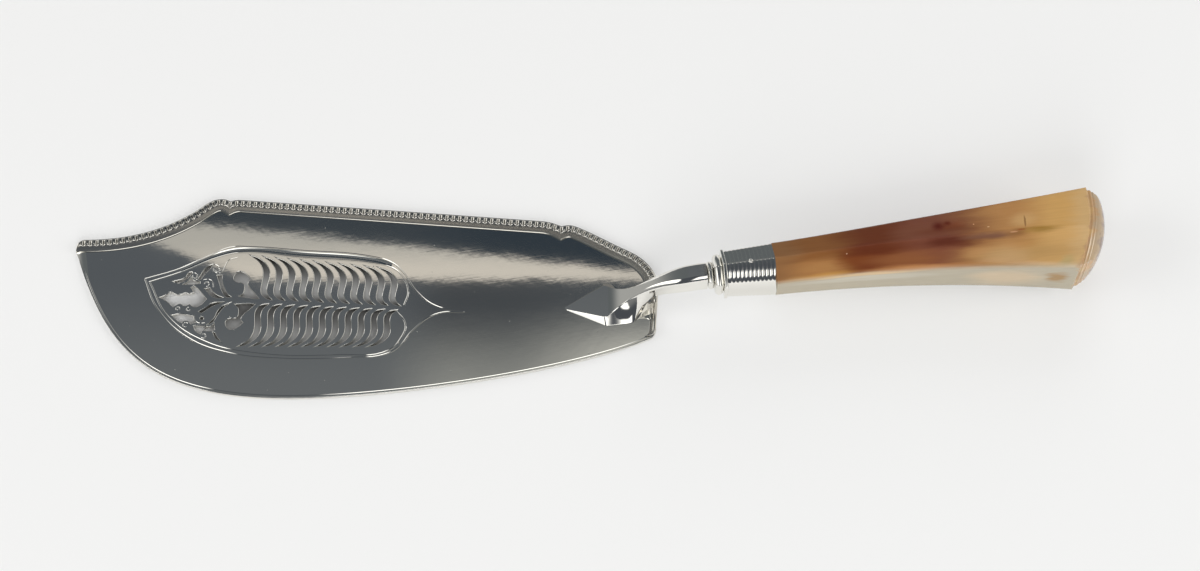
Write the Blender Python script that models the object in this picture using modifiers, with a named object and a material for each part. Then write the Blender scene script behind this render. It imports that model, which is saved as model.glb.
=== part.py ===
"""Fish slice: a pierced silver blade with a gadrooned border, on a cranked stem and a horn handle.

X runs along the blade's spine towards the handle, Y towards the gadrooned back, and Z up.
The origin is on the blade's underside, on the spine, at the widest part of the spear palm.
"""
import math

import bmesh
import bpy
from mathutils import Matrix, Vector

MM = 0.001
CLEARANCE = 0.3 * MM            # gap kept between pieces that touch

# Blade outline
BLADE_REACH = 167.0 * MM        # palm shoulder to tip
HEEL_REACH = 15.3 * MM          # palm shoulder to heel
BLADE_THICKNESS = 1.3 * MM
BACK_RISE = 34.6 * MM           # spine to the back, at the front notch
BACK_FALL = 2.5 * MM            # how much lower the back is at the rear notch
BELLY_DROP = 32.2 * MM          # spine to the lowest point of the belly
BELLY_SETBACK = 64.0 * MM       # tip to that point
TIP_RISE = 18.2 * MM            # spine to the top of the tip
TIP_CORNER = 2.5 * MM           # rounding of the tip's upper corner
FRONT_NOTCH_SETBACK = 46.6 * MM  # tip to the front notch
REAR_NOTCH_SETBACK = 15.8 * MM  # palm shoulder to the rear notch
NOTCH_HALF = 2.6 * MM           # half the length of a notch
FRONT_NOTCH_DIP = 0.7 * MM
REAR_NOTCH_DIP = 1.5 * MM
HEEL_SHOULDER_RISE = 23.0 * MM  # spine to where the heel starts to turn
HEEL_TURN = 9.5 * MM            # length of that turn along the blade
HEEL_FLANK_RISE = 11.0 * MM     # spine to the end of the turn
HEEL_FOOT_DROP = 6.9 * MM       # spine to the heel's lower corner
HEEL_CORNER = 2.9 * MM          # rounding of that corner

# Pierced panel
TIP_LAND = 23.5 * MM            # plain metal between the tip and the scrolls
SCROLL_LENGTH = 36.0 * MM       # length of the scrolled front of the panel
HEEL_LAND = 64.0 * MM           # plain metal between the slots and the palm shoulder
PANEL_HALF = 15.4 * MM          # spine to the tip of the first slot
PANEL_TAPER = 2.2 * MM          # how much shorter the last slot is
SPINE_HALF = 0.75 * MM          # half the bar between the two rows of slots
SLOT_PITCH = 4.0 * MM
SLOT_WIDTH = 2.4 * MM
LOWER_ROW_SHIFT = 1.0 * MM      # the lower row stands this much nearer the tip
EYELET_RADIUS = 0.5 * MM

# Gadrooned border
BORDER_WIDTH = 4.2 * MM
BORDER_BASE = 0.7 * MM          # height of the strip between the lobes
LOBE_PITCH = 2.05 * MM
LOBE_WIDTH = 2.7 * MM           # length of a lobe across the strip
LOBE_HEIGHT = 0.9 * MM          # rise of a lobe above the strip
THREAD_HEIGHT = 1.0 * MM        # crest of the thread moulding inside the lobes
CUSP_DEPTH = 0.8 * MM           # how far the strip points inwards at a notch
HEEL_PLAIN = 8.0 * MM           # the strip is plain and narrow at the heel, below this height above the spine
HEEL_FADE = 1.5 * MM            # half the length over which the lobes die away there
HEEL_SQUEEZE = 0.5              # width of the plain strip as a share of the whole
PLAIN_RISE = 0.6                # height of the plain strip as a share of a lobe

# Spear palm and cranked stem
PALM_OFFSET = 4.6 * MM          # spine to the middle of the palm
PALM_LENGTH = 13.3 * MM
PALM_WIDTH = 14.4 * MM          # where it sits on the blade
PALM_BEVEL = 1.6 * MM           # width of the slope round its flat top
PALM_HEIGHT = 1.8 * MM
CANT = math.radians(9.7)        # turn of the handle away from the spine, seen from above
STEM_RUN = 30.4 * MM            # palm shoulder to the first ring, along the handle
PALM_FALL = 5.7 * MM            # run over which the palm narrows into the stem
FOOT_RUN = 9.0 * MM             # how far the stem's foot lies on the blade
AXIS_HEIGHT = 14.5 * MM         # underside of the blade to the handle's axis
STEM_FLAT = 1.3 * MM            # flat on top of the stem at its waist
STEM_END_FLAT = 3.5 * MM        # the same flat at the collar
STEM_CHAMFER = 1.2 * MM
STEM_END_DEPTH = 8.9 * MM
STEM_STATIONS = (0.05, 0.1, 0.15, 0.2, 0.25, 0.3, 0.34, 0.38, 0.42, 0.47, 0.54, 0.63, 0.75, 0.88, 1.0)

# Collar, ferrule, tang and handle, in order along the handle's axis
DROOP = math.radians(0.9)       # fall of the handle's axis towards the butt
FRONT_RING_LENGTH = 1.7 * MM
FRONT_RING_FLATS = 7.6 * MM     # width across the six flats
REAR_RING_LENGTH = 2.3 * MM
REAR_RING_FLATS = 11.0 * MM
PLATE_THICKNESS = 0.8 * MM
PLATE_LIP = 0.25 * MM           # how far the end plate stands out past the ferrule
FERRULE_LENGTH = 14.6 * MM
FERRULE_FRONT_FLATS = 12.6 * MM
FERRULE_REAR_FLATS = 14.2 * MM
FERRULE_WALL = 0.7 * MM
REED_COUNT = 12
REED_DEPTH = 0.25 * MM
PIN_DIAMETER = 1.3 * MM
PIN_HEAD = 0.2 * MM             # how far the pin stands above the ferrule's ridge
PIN_DEPTH = 1.4 * MM            # how far it reaches into the horn
TANG_FRONT_DIAMETER = 4.0 * MM
TANG_REAR_DIAMETER = 2.6 * MM
TANG_SOCKET = 5.0 * MM          # how far the tang sits in the stem
TANG_REACH = 48.0 * MM          # how far it runs into the horn
BORE_DIAMETER = 7.0 * MM
HANDLE_LENGTH = 95.0 * MM       # ferrule to the edge of the butt
HANDLE_BUTT_WIDTH = 26.6 * MM
HANDLE_BUTT_SIDE = 17.0 * MM    # upright flank at the butt
HANDLE_BUTT_ROOF = 0.9 * MM     # rise of the ridge above that flank
BUTT_SKEW = math.radians(14.0)  # slant of the butt's edge, seen from above
BUTT_STEP = 1.4 * MM            # small moulding between the edge and the dome
DOME_HEIGHT = 6.4 * MM

HEX_CORNER = 1.0 / math.cos(math.pi / 6.0)   # corner radius of a hexagon for each unit of flat
HEX_SIDE = math.tan(math.pi / 6.0)           # half a side for each unit of flat

SEAT = BLADE_THICKNESS + CLEARANCE           # height of whatever is soldered on the blade
OUTLINE_STEP = 2.5 * MM                      # spacing of the blade's outline points
CURVE_STEPS = 5                              # points along each curve of a slot
LOBE_RISE = (0.0, 0.8, 1.0, 0.8)             # how a lobe rises and falls along the border

# Scroll openings: share of SCROLL_LENGTH in front of the slots, share of PANEL_HALF above the spine
SCROLL_OPENINGS = {
    "palmette": [(0.87, -0.02), (0.82, 0.04), (0.78, 0.11), (0.74, 0.07), (0.69, 0.07), (0.65, 0.11),
                 (0.62, 0.09), (0.58, 0.13), (0.61, 0.23), (0.59, 0.27), (0.55, 0.20), (0.51, 0.10),
                 (0.47, 0.00), (0.50, -0.08), (0.53, -0.16), (0.57, -0.18), (0.61, -0.12), (0.65, -0.17),
                 (0.69, -0.13), (0.73, -0.17), (0.75, -0.21), (0.79, -0.12), (0.83, -0.06)],
    "upper fin": [(0.68, 0.30), (0.65, 0.36), (0.62, 0.46), (0.61, 0.41), (0.58, 0.38), (0.54, 0.38),
                  (0.54, 0.34), (0.61, 0.31)],
    "crescent": [(0.40, 0.53), (0.36, 0.55), (0.35, 0.38), (0.32, 0.22), (0.29, 0.12), (0.26, 0.07),
                 (0.30, 0.07), (0.34, 0.18), (0.37, 0.35)],
    "leaf": [(0.49, 0.22), (0.45, 0.25), (0.42, 0.16), (0.38, 0.09), (0.33, 0.05), (0.39, 0.04),
             (0.43, 0.08)],
    "upper slit": [(0.56, 0.44), (0.52, 0.60), (0.49, 0.72), (0.45, 0.77), (0.47, 0.67), (0.51, 0.55),
                   (0.54, 0.43)],
    "front slit": [(0.77, 0.35), (0.72, 0.40), (0.67, 0.45), (0.65, 0.55), (0.62, 0.58), (0.63, 0.52),
                   (0.66, 0.42), (0.69, 0.36), (0.73, 0.34)],
    "lower leaf": [(0.52, -0.29), (0.47, -0.20), (0.41, -0.09), (0.33, -0.06), (0.40, -0.13),
                   (0.45, -0.22), (0.50, -0.31)],
    "lower scroll": [(0.28, -0.09), (0.33, -0.16), (0.36, -0.26), (0.38, -0.40), (0.43, -0.56),
                     (0.39, -0.48), (0.37, -0.38), (0.34, -0.25), (0.31, -0.15)],
    "lower fin": [(0.75, -0.40), (0.68, -0.36), (0.57, -0.39), (0.56, -0.47), (0.54, -0.53),
                  (0.58, -0.57), (0.60, -0.51), (0.64, -0.49), (0.66, -0.55), (0.71, -0.48)],
    "lower lobe": [(0.55, -0.61), (0.51, -0.60), (0.45, -0.60), (0.41, -0.61), (0.38, -0.53),
                   (0.37, -0.67), (0.41, -0.70), (0.47, -0.70), (0.49, -0.78), (0.53, -0.71)],
    "lower slit": [(0.38, -0.73), (0.37, -0.73), (0.34, -0.83), (0.31, -0.91), (0.35, -0.85)],
}
EYELET_PLACE = (0.49, -0.43)

# One mushroom opening, in millimetres from the foot of its stalk on the spine
MUSHROOM = [(-4.1, 6.5), (-3.9, 8.2), (-2.6, 9.7), (-0.6, 10.1), (1.0, 9.2), (2.0, 7.8), (1.0, 6.8),
            (2.2, 5.1), (3.5, 3.1), (4.8, 1.0), (3.0, 0.8), (-1.9, 0.8), (-0.5, 1.9), (-0.1, 3.6),
            (-0.5, 5.1), (-1.5, 5.8), (-2.8, 5.7)]
MUSHROOM_SETBACK = 6.2 * MM     # stalk of the mushrooms to the first slot


def clear_scene():
    for item in list(bpy.data.objects):
        bpy.data.objects.remove(item, do_unlink=True)


def new_collection(name):
    group = bpy.data.collections.new(name)
    bpy.context.scene.collection.children.link(group)
    return group


def new_material(name, colour, roughness, metallic):
    material = bpy.data.materials.new(name)
    material.use_nodes = True
    shader = material.node_tree.nodes["Principled BSDF"]
    shader.inputs["Base Color"].default_value = (*colour, 1.0)
    shader.inputs["Roughness"].default_value = roughness
    shader.inputs["Metallic"].default_value = metallic
    return material


def silver(name):
    return new_material(name, (0.80, 0.79, 0.76), 0.14, 1.0)


def add_object(name, data, group, material=None):
    item = bpy.data.objects.new(name, data)
    group.objects.link(item)
    if material:
        data.materials.append(material)
    return item


def loft(name, rings):
    """A closed mesh through rings of equal point counts, capped at both ends."""
    shape = bmesh.new()
    loops = [[shape.verts.new(point) for point in ring] for ring in rings]
    count = len(loops[0])
    for near, far in zip(loops, loops[1:]):
        for i in range(count):
            j = (i + 1) % count
            shape.faces.new((near[i], near[j], far[j], far[i]))
    shape.faces.new(loops[0])
    shape.faces.new(loops[-1])
    bmesh.ops.recalc_face_normals(shape, faces=shape.faces)
    mesh = bpy.data.meshes.new(name)
    shape.to_mesh(mesh)
    shape.free()
    return mesh


def turned(name, profile, steps):
    """A closed profile of (radius, height) points, turned about Z; it runs down the outer side."""
    mesh = bpy.data.meshes.new(name)
    points = [(radius, 0.0, height) for radius, height in profile]
    edges = [(i, (i + 1) % len(points)) for i in range(len(points))]
    mesh.from_pydata(points, edges, [])
    return mesh, steps


def add_screw(item, steps):
    screw = item.modifiers.new("turn", "SCREW")
    screw.axis = "Z"
    screw.steps = steps
    screw.render_steps = steps
    screw.use_merge_vertices = True
    screw.merge_threshold = 0.00001


def add_cut(item, cutter):
    cut = item.modifiers.new("cut " + cutter.name, "BOOLEAN")
    cut.operation = "DIFFERENCE"
    cut.object = cutter


def add_rod(name, radii, ends, sides, group, matrix):
    """A round or tapered rod along local Z, from ends[0] to ends[1]."""
    mesh = bpy.data.meshes.new(name)
    shape = bmesh.new()
    place = Matrix.Translation((0.0, 0.0, (ends[0] + ends[1]) / 2.0))
    bmesh.ops.create_cone(shape, cap_ends=True, segments=sides, radius1=radii[0], radius2=radii[1],
                          depth=ends[1] - ends[0], matrix=place)
    shape.to_mesh(mesh)
    shape.free()
    item = add_object(name, mesh, group)
    item.matrix_world = matrix
    return item


def add_cutter(name, radius, ends, sides, group, matrix):
    item = add_rod(name, (radius, radius), ends, sides, group, matrix)
    item.hide_render = True
    item.display_type = "WIRE"
    return item


def bezier(curve, t):
    start, out, back, end = curve
    u = 1.0 - t
    return start * u ** 3 + out * (3.0 * u * u * t) + back * (3.0 * u * t * t) + end * t ** 3


def sample(curve, count):
    """Points along one curve, without its end point."""
    return [bezier(curve, i / count) for i in range(count)]


def curve_length(curve):
    points = sample(curve, 16) + [curve[3]]
    return sum((b - a).length for a, b in zip(points, points[1:]))


def straight(start, end):
    return (start, start.lerp(end, 1.0 / 3.0), start.lerp(end, 2.0 / 3.0), end)


def tip_run():
    """Upper edge from the tip to the front notch: hollow, then swelling into a small crest."""
    start = Vector((-BLADE_REACH + TIP_CORNER, TIP_RISE))
    notch = Vector((-BLADE_REACH + FRONT_NOTCH_SETBACK, BACK_RISE - FRONT_NOTCH_DIP))
    crest = notch + Vector((-NOTCH_HALF, FRONT_NOTCH_DIP))
    turn = start.lerp(crest, 0.8)
    turn.y = TIP_RISE + 0.7 * (BACK_RISE - TIP_RISE)
    hollow = turn - start
    swell = crest - turn
    return [
        (start, start + Vector((0.43 * hollow.x, 0.06 * hollow.y)),
         turn - Vector((0.25 * hollow.x, 0.55 * hollow.y)), turn),
        (turn, turn + Vector((0.36 * swell.x, 0.5 * swell.y)), crest - Vector((0.38 * swell.x, 0.0)), crest),
        (crest, crest + Vector((0.45 * NOTCH_HALF, 0.0)),
         notch + Vector((-0.25 * NOTCH_HALF, 0.5 * FRONT_NOTCH_DIP)), notch),
    ]


def back_run():
    """Upper edge between the two notches: nearly straight."""
    notch = tip_run()[-1][3]
    end = Vector((-REAR_NOTCH_SETBACK, BACK_RISE - BACK_FALL - REAR_NOTCH_DIP))
    front = notch + Vector((1.2 * NOTCH_HALF, FRONT_NOTCH_DIP))
    rear = end + Vector((-2.5 * NOTCH_HALF, REAR_NOTCH_DIP))
    return [
        (notch, notch + Vector((0.3 * NOTCH_HALF, 0.5 * FRONT_NOTCH_DIP)),
         front - Vector((0.5 * NOTCH_HALF, 0.0)), front),
        straight(front, rear),
        (rear, rear + Vector((NOTCH_HALF, 0.0)), end + Vector((-0.7 * NOTCH_HALF, 0.45 * REAR_NOTCH_DIP)), end),
    ]


def heel_run():
    """Upper edge from the rear notch round the heel to its lower corner."""
    notch = back_run()[-1][3]
    crest = notch + Vector((NOTCH_HALF, 0.35 * REAR_NOTCH_DIP))
    turn = Vector((HEEL_REACH - HEEL_TURN, HEEL_SHOULDER_RISE))
    flank = Vector((HEEL_REACH, HEEL_FLANK_RISE))
    foot = Vector((HEEL_REACH, HEEL_CORNER - HEEL_FOOT_DROP))
    slope = turn - crest
    return [
        (notch, notch + Vector((0.25 * NOTCH_HALF, 0.25 * REAR_NOTCH_DIP)),
         crest - Vector((0.4 * NOTCH_HALF, 0.0)), crest),
        (crest, crest + Vector((0.15 * slope.x, 0.0)), turn - 0.4 * slope, turn),
        (turn, turn + 0.25 * slope, flank + Vector((0.0, 0.45 * (turn.y - flank.y))), flank),
        straight(flank, foot),
    ]


def lower_edge():
    """Heel corner, belly and front edge, back to the start of the tip's border."""
    foot = heel_run()[-1][3]
    corner = Vector((HEEL_REACH - HEEL_CORNER, -HEEL_FOOT_DROP))
    belly = Vector((-BLADE_REACH + BELLY_SETBACK, -BELLY_DROP))
    top = tip_run()[0][0]
    tip = Vector((-BLADE_REACH, TIP_RISE - 1.3 * TIP_CORNER))
    along = corner.x - belly.x
    drop = corner.y - belly.y
    front = tip - belly
    return [
        (foot, foot - Vector((0.0, 0.6 * HEEL_CORNER)), corner + Vector((0.5 * HEEL_CORNER, 0.35 * HEEL_CORNER)),
         corner),
        (corner, corner - Vector((0.195 * along, 0.47 * drop)), belly + Vector((0.27 * along, 0.0)), belly),
        (belly, belly + Vector((0.55 * front.x, 0.0)), belly + Vector((0.795 * front.x, 0.26 * front.y)), tip),
        (tip, tip + Vector((-0.05 * TIP_CORNER, 0.6 * TIP_CORNER)), top - Vector((0.7 * TIP_CORNER, 0.0)), top),
    ]


def blade_outline():
    points = []
    for curve in tip_run() + back_run() + heel_run() + lower_edge():
        points += sample(curve, max(2, round(curve_length(curve) / OUTLINE_STEP)))
    return points


def slot_outline(place, height, side):
    """One S-shaped slot: a pointed tip that leans to the blade's tip and a tail along the spine."""
    def at(across, up):
        return Vector((place + across * SLOT_WIDTH, side * up * height))

    tip = at(-2.04, 1.0)
    tail = Vector((place + 1.125 * SLOT_WIDTH, side * SPINE_HALF))
    heel = Vector((place + 0.08 * SLOT_WIDTH, side * SPINE_HALF))
    curves = [
        (tip, at(-0.67, 0.965), at(0.625, 0.806), at(0.625, 0.611)),
        (at(0.625, 0.611), at(0.625, 0.417), at(-0.167, 0.222), tail),
        (tail, heel, at(-0.625, 0.11), at(-0.583, 0.29)),
        (at(-0.583, 0.29), at(-0.54, 0.486), at(0.167, 0.79), tip),
    ]
    return [point for curve in curves for point in sample(curve, CURVE_STEPS)]


def panel_openings():
    """Outlines of every hole through the blade."""
    datum = -BLADE_REACH + TIP_LAND + SCROLL_LENGTH
    row = -HEEL_LAND - datum
    count = max(1, round(row / SLOT_PITCH))
    openings = []
    for i in range(count):
        height = PANEL_HALF - PANEL_TAPER * i / count
        place = datum + 0.3 * SLOT_WIDTH + i * SLOT_PITCH
        openings.append(slot_outline(place, height, 1.0))
        openings.append(slot_outline(place - LOWER_ROW_SHIFT, height, -1.0))
    stalk = datum + 0.3 * SLOT_WIDTH - MUSHROOM_SETBACK
    for side, shift in ((1.0, 0.0), (-1.0, -LOWER_ROW_SHIFT)):
        openings.append([Vector((stalk + shift + x * MM, side * y * MM)) for x, y in MUSHROOM])
    for shape in SCROLL_OPENINGS.values():
        openings.append([Vector((datum - x * SCROLL_LENGTH, y * PANEL_HALF)) for x, y in shape])
    centre = Vector((datum - EYELET_PLACE[0] * SCROLL_LENGTH, EYELET_PLACE[1] * PANEL_HALF))
    turns = [i * math.tau / 8.0 for i in range(8)]
    openings.append([centre + EYELET_RADIUS * Vector((math.cos(a), math.sin(a))) for a in turns])
    return openings


def add_blade(group):
    """Flat plate cut from one outline, with the piercings as inner outlines."""
    curve = bpy.data.curves.new("blade", "CURVE")
    curve.dimensions = "2D"
    curve.fill_mode = "BOTH"
    curve.extrude = BLADE_THICKNESS / 2.0
    for outline in [blade_outline()] + panel_openings():
        spline = curve.splines.new("POLY")
        spline.points.add(len(outline) - 1)
        for point, place in zip(spline.points, outline):
            point.co = (place.x, place.y, 0.0, 1.0)
        spline.use_cyclic_u = True
    blade = add_object("blade", curve, group, silver("blade silver"))
    blade.location.z = BLADE_THICKNESS / 2.0


class Route:
    """A chain of curves, read by distance from its start."""

    def __init__(self, curves):
        self.points = [point for curve in curves for point in sample(curve, 24)] + [curves[-1][3]]
        self.marks = [0.0]
        for a, b in zip(self.points, self.points[1:]):
            self.marks.append(self.marks[-1] + (b - a).length)
        self.length = self.marks[-1]

    def at(self, distance):
        distance = min(max(distance, 0.0), self.length)
        i = 0
        while self.marks[i + 1] < distance and i < len(self.marks) - 2:
            i += 1
        share = (distance - self.marks[i]) / (self.marks[i + 1] - self.marks[i])
        return self.points[i].lerp(self.points[i + 1], share)

    def inward(self, distance):
        """Direction into the blade, read over one strip width so that it turns smoothly."""
        span = BORDER_WIDTH / 2.0
        along = self.at(distance + span) - self.at(distance - span)
        return Vector((along.y, -along.x)).normalized()


def border_section(lobe, start, flare):
    """Section of the strip: distance into the blade and height above the seat."""
    inner = BORDER_WIDTH + flare
    crest = start + 0.35 * (LOBE_WIDTH - start)
    fall = start + 0.75 * (LOBE_WIDTH - start)
    thread = 0.6 * inner + 0.4 * LOBE_WIDTH
    return [(start, 0.0), (start, BORDER_BASE + 0.3 * LOBE_HEIGHT * lobe),
            (crest, BORDER_BASE + LOBE_HEIGHT * lobe), (fall, BORDER_BASE + 0.75 * LOBE_HEIGHT * lobe),
            (LOBE_WIDTH, 0.8 * BORDER_BASE), (thread, THREAD_HEIGHT), (inner, 0.5 * BORDER_BASE), (inner, 0.0)]


def add_border(name, curves, group, notches, rounded, heel=False):
    """A gadrooned strip along part of the edge.

    notches and rounded each say, for the start and the end, whether the strip points into the blade
    there, and whether its outer corner is rounded. At the heel the strip ends plain and narrow.
    """
    route = Route(curves)
    lobes = max(1, round(route.length / LOBE_PITCH))
    steps = lobes * len(LOBE_RISE)
    trims = [CLEARANCE / 2.0 if notch else 0.0 for notch in notches]
    square = [Vector((0.0, -1.0)) if notch else None for notch in notches]
    rings = []
    for i in range(steps + 1):
        distance = trims[0] + (route.length - trims[0] - trims[1]) * i / steps
        ends = (distance - trims[0], route.length - trims[1] - distance)
        inward = route.inward(distance)
        flare = 0.0
        start = 0.0
        for end, gap in enumerate(ends):
            if notches[end]:
                pull = math.exp(-(gap / NOTCH_HALF) ** 2)
                inward = inward.lerp(square[end], pull).normalized()
                flare += CUSP_DEPTH * pull ** 3
            if rounded[end] and gap < TIP_CORNER:
                start = TIP_CORNER - math.sqrt(TIP_CORNER ** 2 - (TIP_CORNER - gap) ** 2)
        place = route.at(distance)
        lobe = LOBE_RISE[i % len(LOBE_RISE)]
        squeeze = 1.0
        if heel:
            plain = 1.0 - ease(place.y, HEEL_PLAIN - HEEL_FADE, HEEL_PLAIN + HEEL_FADE)
            lobe += (PLAIN_RISE - lobe) * plain
            squeeze += (HEEL_SQUEEZE - 1.0) * plain
        section = border_section(lobe, start, flare)
        spots = [(place + depth * squeeze * inward, SEAT + height) for depth, height in section]
        rings.append([(spot.x, spot.y, height) for spot, height in spots])
    add_object(name, loft(name, rings), group, silver(name + " silver"))


def add_borders(group):
    tip = tip_run()
    corner = tip[0][0] - Vector((0.9 * TIP_CORNER, 0.0))
    add_border("border_tip", [straight(corner, tip[0][0])] + tip, group, (False, True), (True, False))
    add_border("border_back", back_run(), group, (True, True), (False, False))
    heel = heel_run()
    foot = heel[-1][3] - Vector((0.0, 0.6 * HEEL_CORNER))
    run = heel + [straight(heel[-1][3], foot)]
    add_border("border_heel", run, group, (True, False), (False, True), heel=True)


def height_on(curve, run):
    """Height of a side-view curve at a distance along it, found by halving."""
    low, high = 0.0, 1.0
    for _ in range(30):
        middle = (low + high) / 2.0
        if bezier(curve, middle).x < run:
            low = middle
        else:
            high = middle
    return bezier(curve, low).y


def ease(share, start, end):
    share = min(max((share - start) / (end - start), 0.0), 1.0)
    return share * share * (3.0 - 2.0 * share)


def stem_ring(run, far, near, heights):
    """Eight corners at one station: flat, chamfer, flank and base, on the far side and on the near side."""
    middle = Vector((run * math.cos(CANT), PALM_OFFSET + run * math.sin(CANT), 0.0))
    across = Vector((-math.sin(CANT), math.cos(CANT), 0.0))
    left = [middle + across * half + Vector((0.0, 0.0, height)) for half, height in zip(far, heights)]
    right = [middle - across * half + Vector((0.0, 0.0, height)) for half, height in zip(near, heights)]
    return left + right[::-1]


def stem_rings():
    palm = PALM_WIDTH / 2.0
    crown = palm - PALM_BEVEL
    waist = STEM_FLAT / 2.0
    point = 0.05 * PALM_WIDTH
    edge = 0.2 * PALM_HEIGHT
    top_start = SEAT + PALM_HEIGHT
    top_end = AXIS_HEIGHT + STEM_END_DEPTH / 2.0
    under_end = AXIS_HEIGHT - STEM_END_DEPTH / 2.0
    rise = top_end - top_start
    lift = under_end - SEAT
    free = STEM_RUN - FOOT_RUN
    top = (Vector((0.0, top_start)), Vector((0.3 * STEM_RUN, top_start + 0.14 * rise)),
           Vector((0.36 * STEM_RUN, top_start + 0.95 * rise)), Vector((STEM_RUN, top_end)))
    under = (Vector((FOOT_RUN, SEAT)), Vector((FOOT_RUN + 0.09 * free, SEAT + 0.21 * lift)),
             Vector((FOOT_RUN + 0.14 * free, under_end)), Vector((STEM_RUN, under_end)))
    tip = (0.8 * point, point, point, point)
    shoulder = (crown, crown + 0.3 * edge, palm, palm)
    rings = [
        stem_ring(-PALM_LENGTH, tip, tip, (SEAT + edge, SEAT + 0.7 * edge, SEAT + 0.3 * edge, SEAT)),
        stem_ring(0.0, shoulder, shoulder, (top_start, top_start - 0.3 * edge, SEAT + edge, SEAT)),
    ]
    for share in STEM_STATIONS:
        run = share * STEM_RUN
        flat = waist + (crown - waist) * math.exp(-(run / PALM_FALL) ** 1.3)
        flat += (STEM_END_FLAT - STEM_FLAT) / 2.0 * ease(share, 0.4, 0.8)
        chamfer = 0.3 * edge + (STEM_CHAMFER - 0.3 * edge) * ease(share, 0.0, 0.45)
        flank = flat + chamfer
        near_foot = ease(share, 0.24, 0.42)
        far_foot = ease(share, 0.0, 0.25)
        near = (flat, flank, palm + (flank - palm) * near_foot, palm + (flat - palm) * near_foot)
        far = (flat, flank, palm + (flank - palm) * far_foot, palm + (flat - palm) * far_foot)
        high = height_on(top, run)
        under_height = SEAT if run <= FOOT_RUN else height_on(under, run)
        lower_chamfer = edge + (chamfer - edge) * near_foot
        rings.append(stem_ring(run, far, near,
                               (high, high - chamfer, under_height + lower_chamfer, under_height)))
    return rings


def add_stem(group, cutters, axis):
    stem = add_object("stem", loft("stem", stem_rings()), group, silver("stem silver"))
    radius = TANG_FRONT_DIAMETER / 2.0 + CLEARANCE
    socket = add_cutter("tang socket", radius, (-TANG_SOCKET - CLEARANCE, CLEARANCE), 16, cutters, axis)
    add_cut(stem, socket)


def axis_matrix():
    """Local Z runs along the handle from the end of the stem, and local X points up."""
    start = Vector((STEM_RUN * math.cos(CANT), PALM_OFFSET + STEM_RUN * math.sin(CANT), AXIS_HEIGHT))
    along = Vector((math.cos(DROOP) * math.cos(CANT), math.cos(DROOP) * math.sin(CANT), -math.sin(DROOP)))
    across = Vector((math.sin(CANT), -math.cos(CANT), 0.0))
    up = across.cross(along)
    turn = Matrix((up, across, along)).transposed()
    return Matrix.Translation(start) @ turn.to_4x4()


def bore_corner():
    """Corner radius of the six-sided hole that lets the tang through."""
    return (TANG_FRONT_DIAMETER / 2.0 + CLEARANCE) * HEX_CORNER


def add_turned(name, profile, group, axis, start, material):
    mesh, steps = turned(name, profile, 6)
    item = add_object(name, mesh, group, material)
    item.matrix_world = axis @ Matrix.Translation((0.0, 0.0, start))
    add_screw(item, steps)
    return item


def ring_profile(length, flats):
    """A rounded ring: its outer side swells to the full width at mid length."""
    corner = flats / 2.0 * HEX_CORNER
    bead = length / 2.0
    outer = []
    for i in range(7):
        turn = math.pi * (i / 6.0 - 0.5)
        outer.append((corner - bead + bead * math.cos(turn), bead - bead * math.sin(turn)))
    return outer + [(bore_corner(), 0.0), (bore_corner(), length)]


def add_collar(group, axis):
    """Two rings and the ferrule's end plate; gives the distance to the ferrule."""
    start = CLEARANCE
    rings = (("collar_front_ring", FRONT_RING_LENGTH, FRONT_RING_FLATS),
             ("collar_rear_ring", REAR_RING_LENGTH, REAR_RING_FLATS))
    for name, length, flats in rings:
        add_turned(name, ring_profile(length, flats), group, axis, start, silver(name + " silver"))
        start += length + CLEARANCE
    corner = (FERRULE_FRONT_FLATS / 2.0 + PLATE_LIP) * HEX_CORNER
    plate = [(corner, PLATE_THICKNESS), (corner, 0.0), (bore_corner(), 0.0), (bore_corner(), PLATE_THICKNESS)]
    add_turned("ferrule_plate", plate, group, axis, start, silver("ferrule plate silver"))
    return start + PLATE_THICKNESS + CLEARANCE


def ferrule_flat(share):
    """Half the ferrule's width across flats, from its front to its rear."""
    return (FERRULE_FRONT_FLATS + (FERRULE_REAR_FLATS - FERRULE_FRONT_FLATS) * share) / 2.0


def add_ferrule(group, cutters, axis, start, pin_place):
    """Reeded tube with six sides: each reed is a rib round the tube, in a tapering wall."""
    outer = []
    for i in range(REED_COUNT):
        for part, depth in ((0.0, REED_DEPTH), (0.3, 0.0), (0.7, 0.0)):
            share = (i + part) / REED_COUNT
            outer.append(((ferrule_flat(share) - depth) * HEX_CORNER, share * FERRULE_LENGTH))
    outer.append(((ferrule_flat(1.0) - REED_DEPTH) * HEX_CORNER, FERRULE_LENGTH))
    inner = [((ferrule_flat(share) - REED_DEPTH - FERRULE_WALL) * HEX_CORNER, share * FERRULE_LENGTH)
             for share in (0.0, 1.0)]
    ferrule = add_turned("ferrule", outer[::-1] + inner, group, axis, start, silver("ferrule silver"))
    reach = FERRULE_REAR_FLATS
    hole = add_cutter("pin hole", PIN_DIAMETER / 2.0 + CLEARANCE, (0.0, reach), 12, cutters, pin_place)
    add_cut(ferrule, hole)
    return hole


def tenon_flat(share):
    """Half the width of the horn inside the ferrule."""
    return ferrule_flat(share) - REED_DEPTH - FERRULE_WALL - CLEARANCE


def hexagon(half_width, flank, roof):
    """Eighteen points round a six-sided section: three to a side, as (up, across)."""
    corners = [(flank + roof, 0.0), (flank, half_width), (-flank, half_width),
               (-flank - roof, 0.0), (-flank, -half_width), (flank, -half_width)]
    points = []
    for i, corner in enumerate(corners):
        start = Vector(corner)
        end = Vector(corners[(i + 1) % 6])
        points += [start.lerp(end, part / 3.0) for part in range(3)]
    return points


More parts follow.
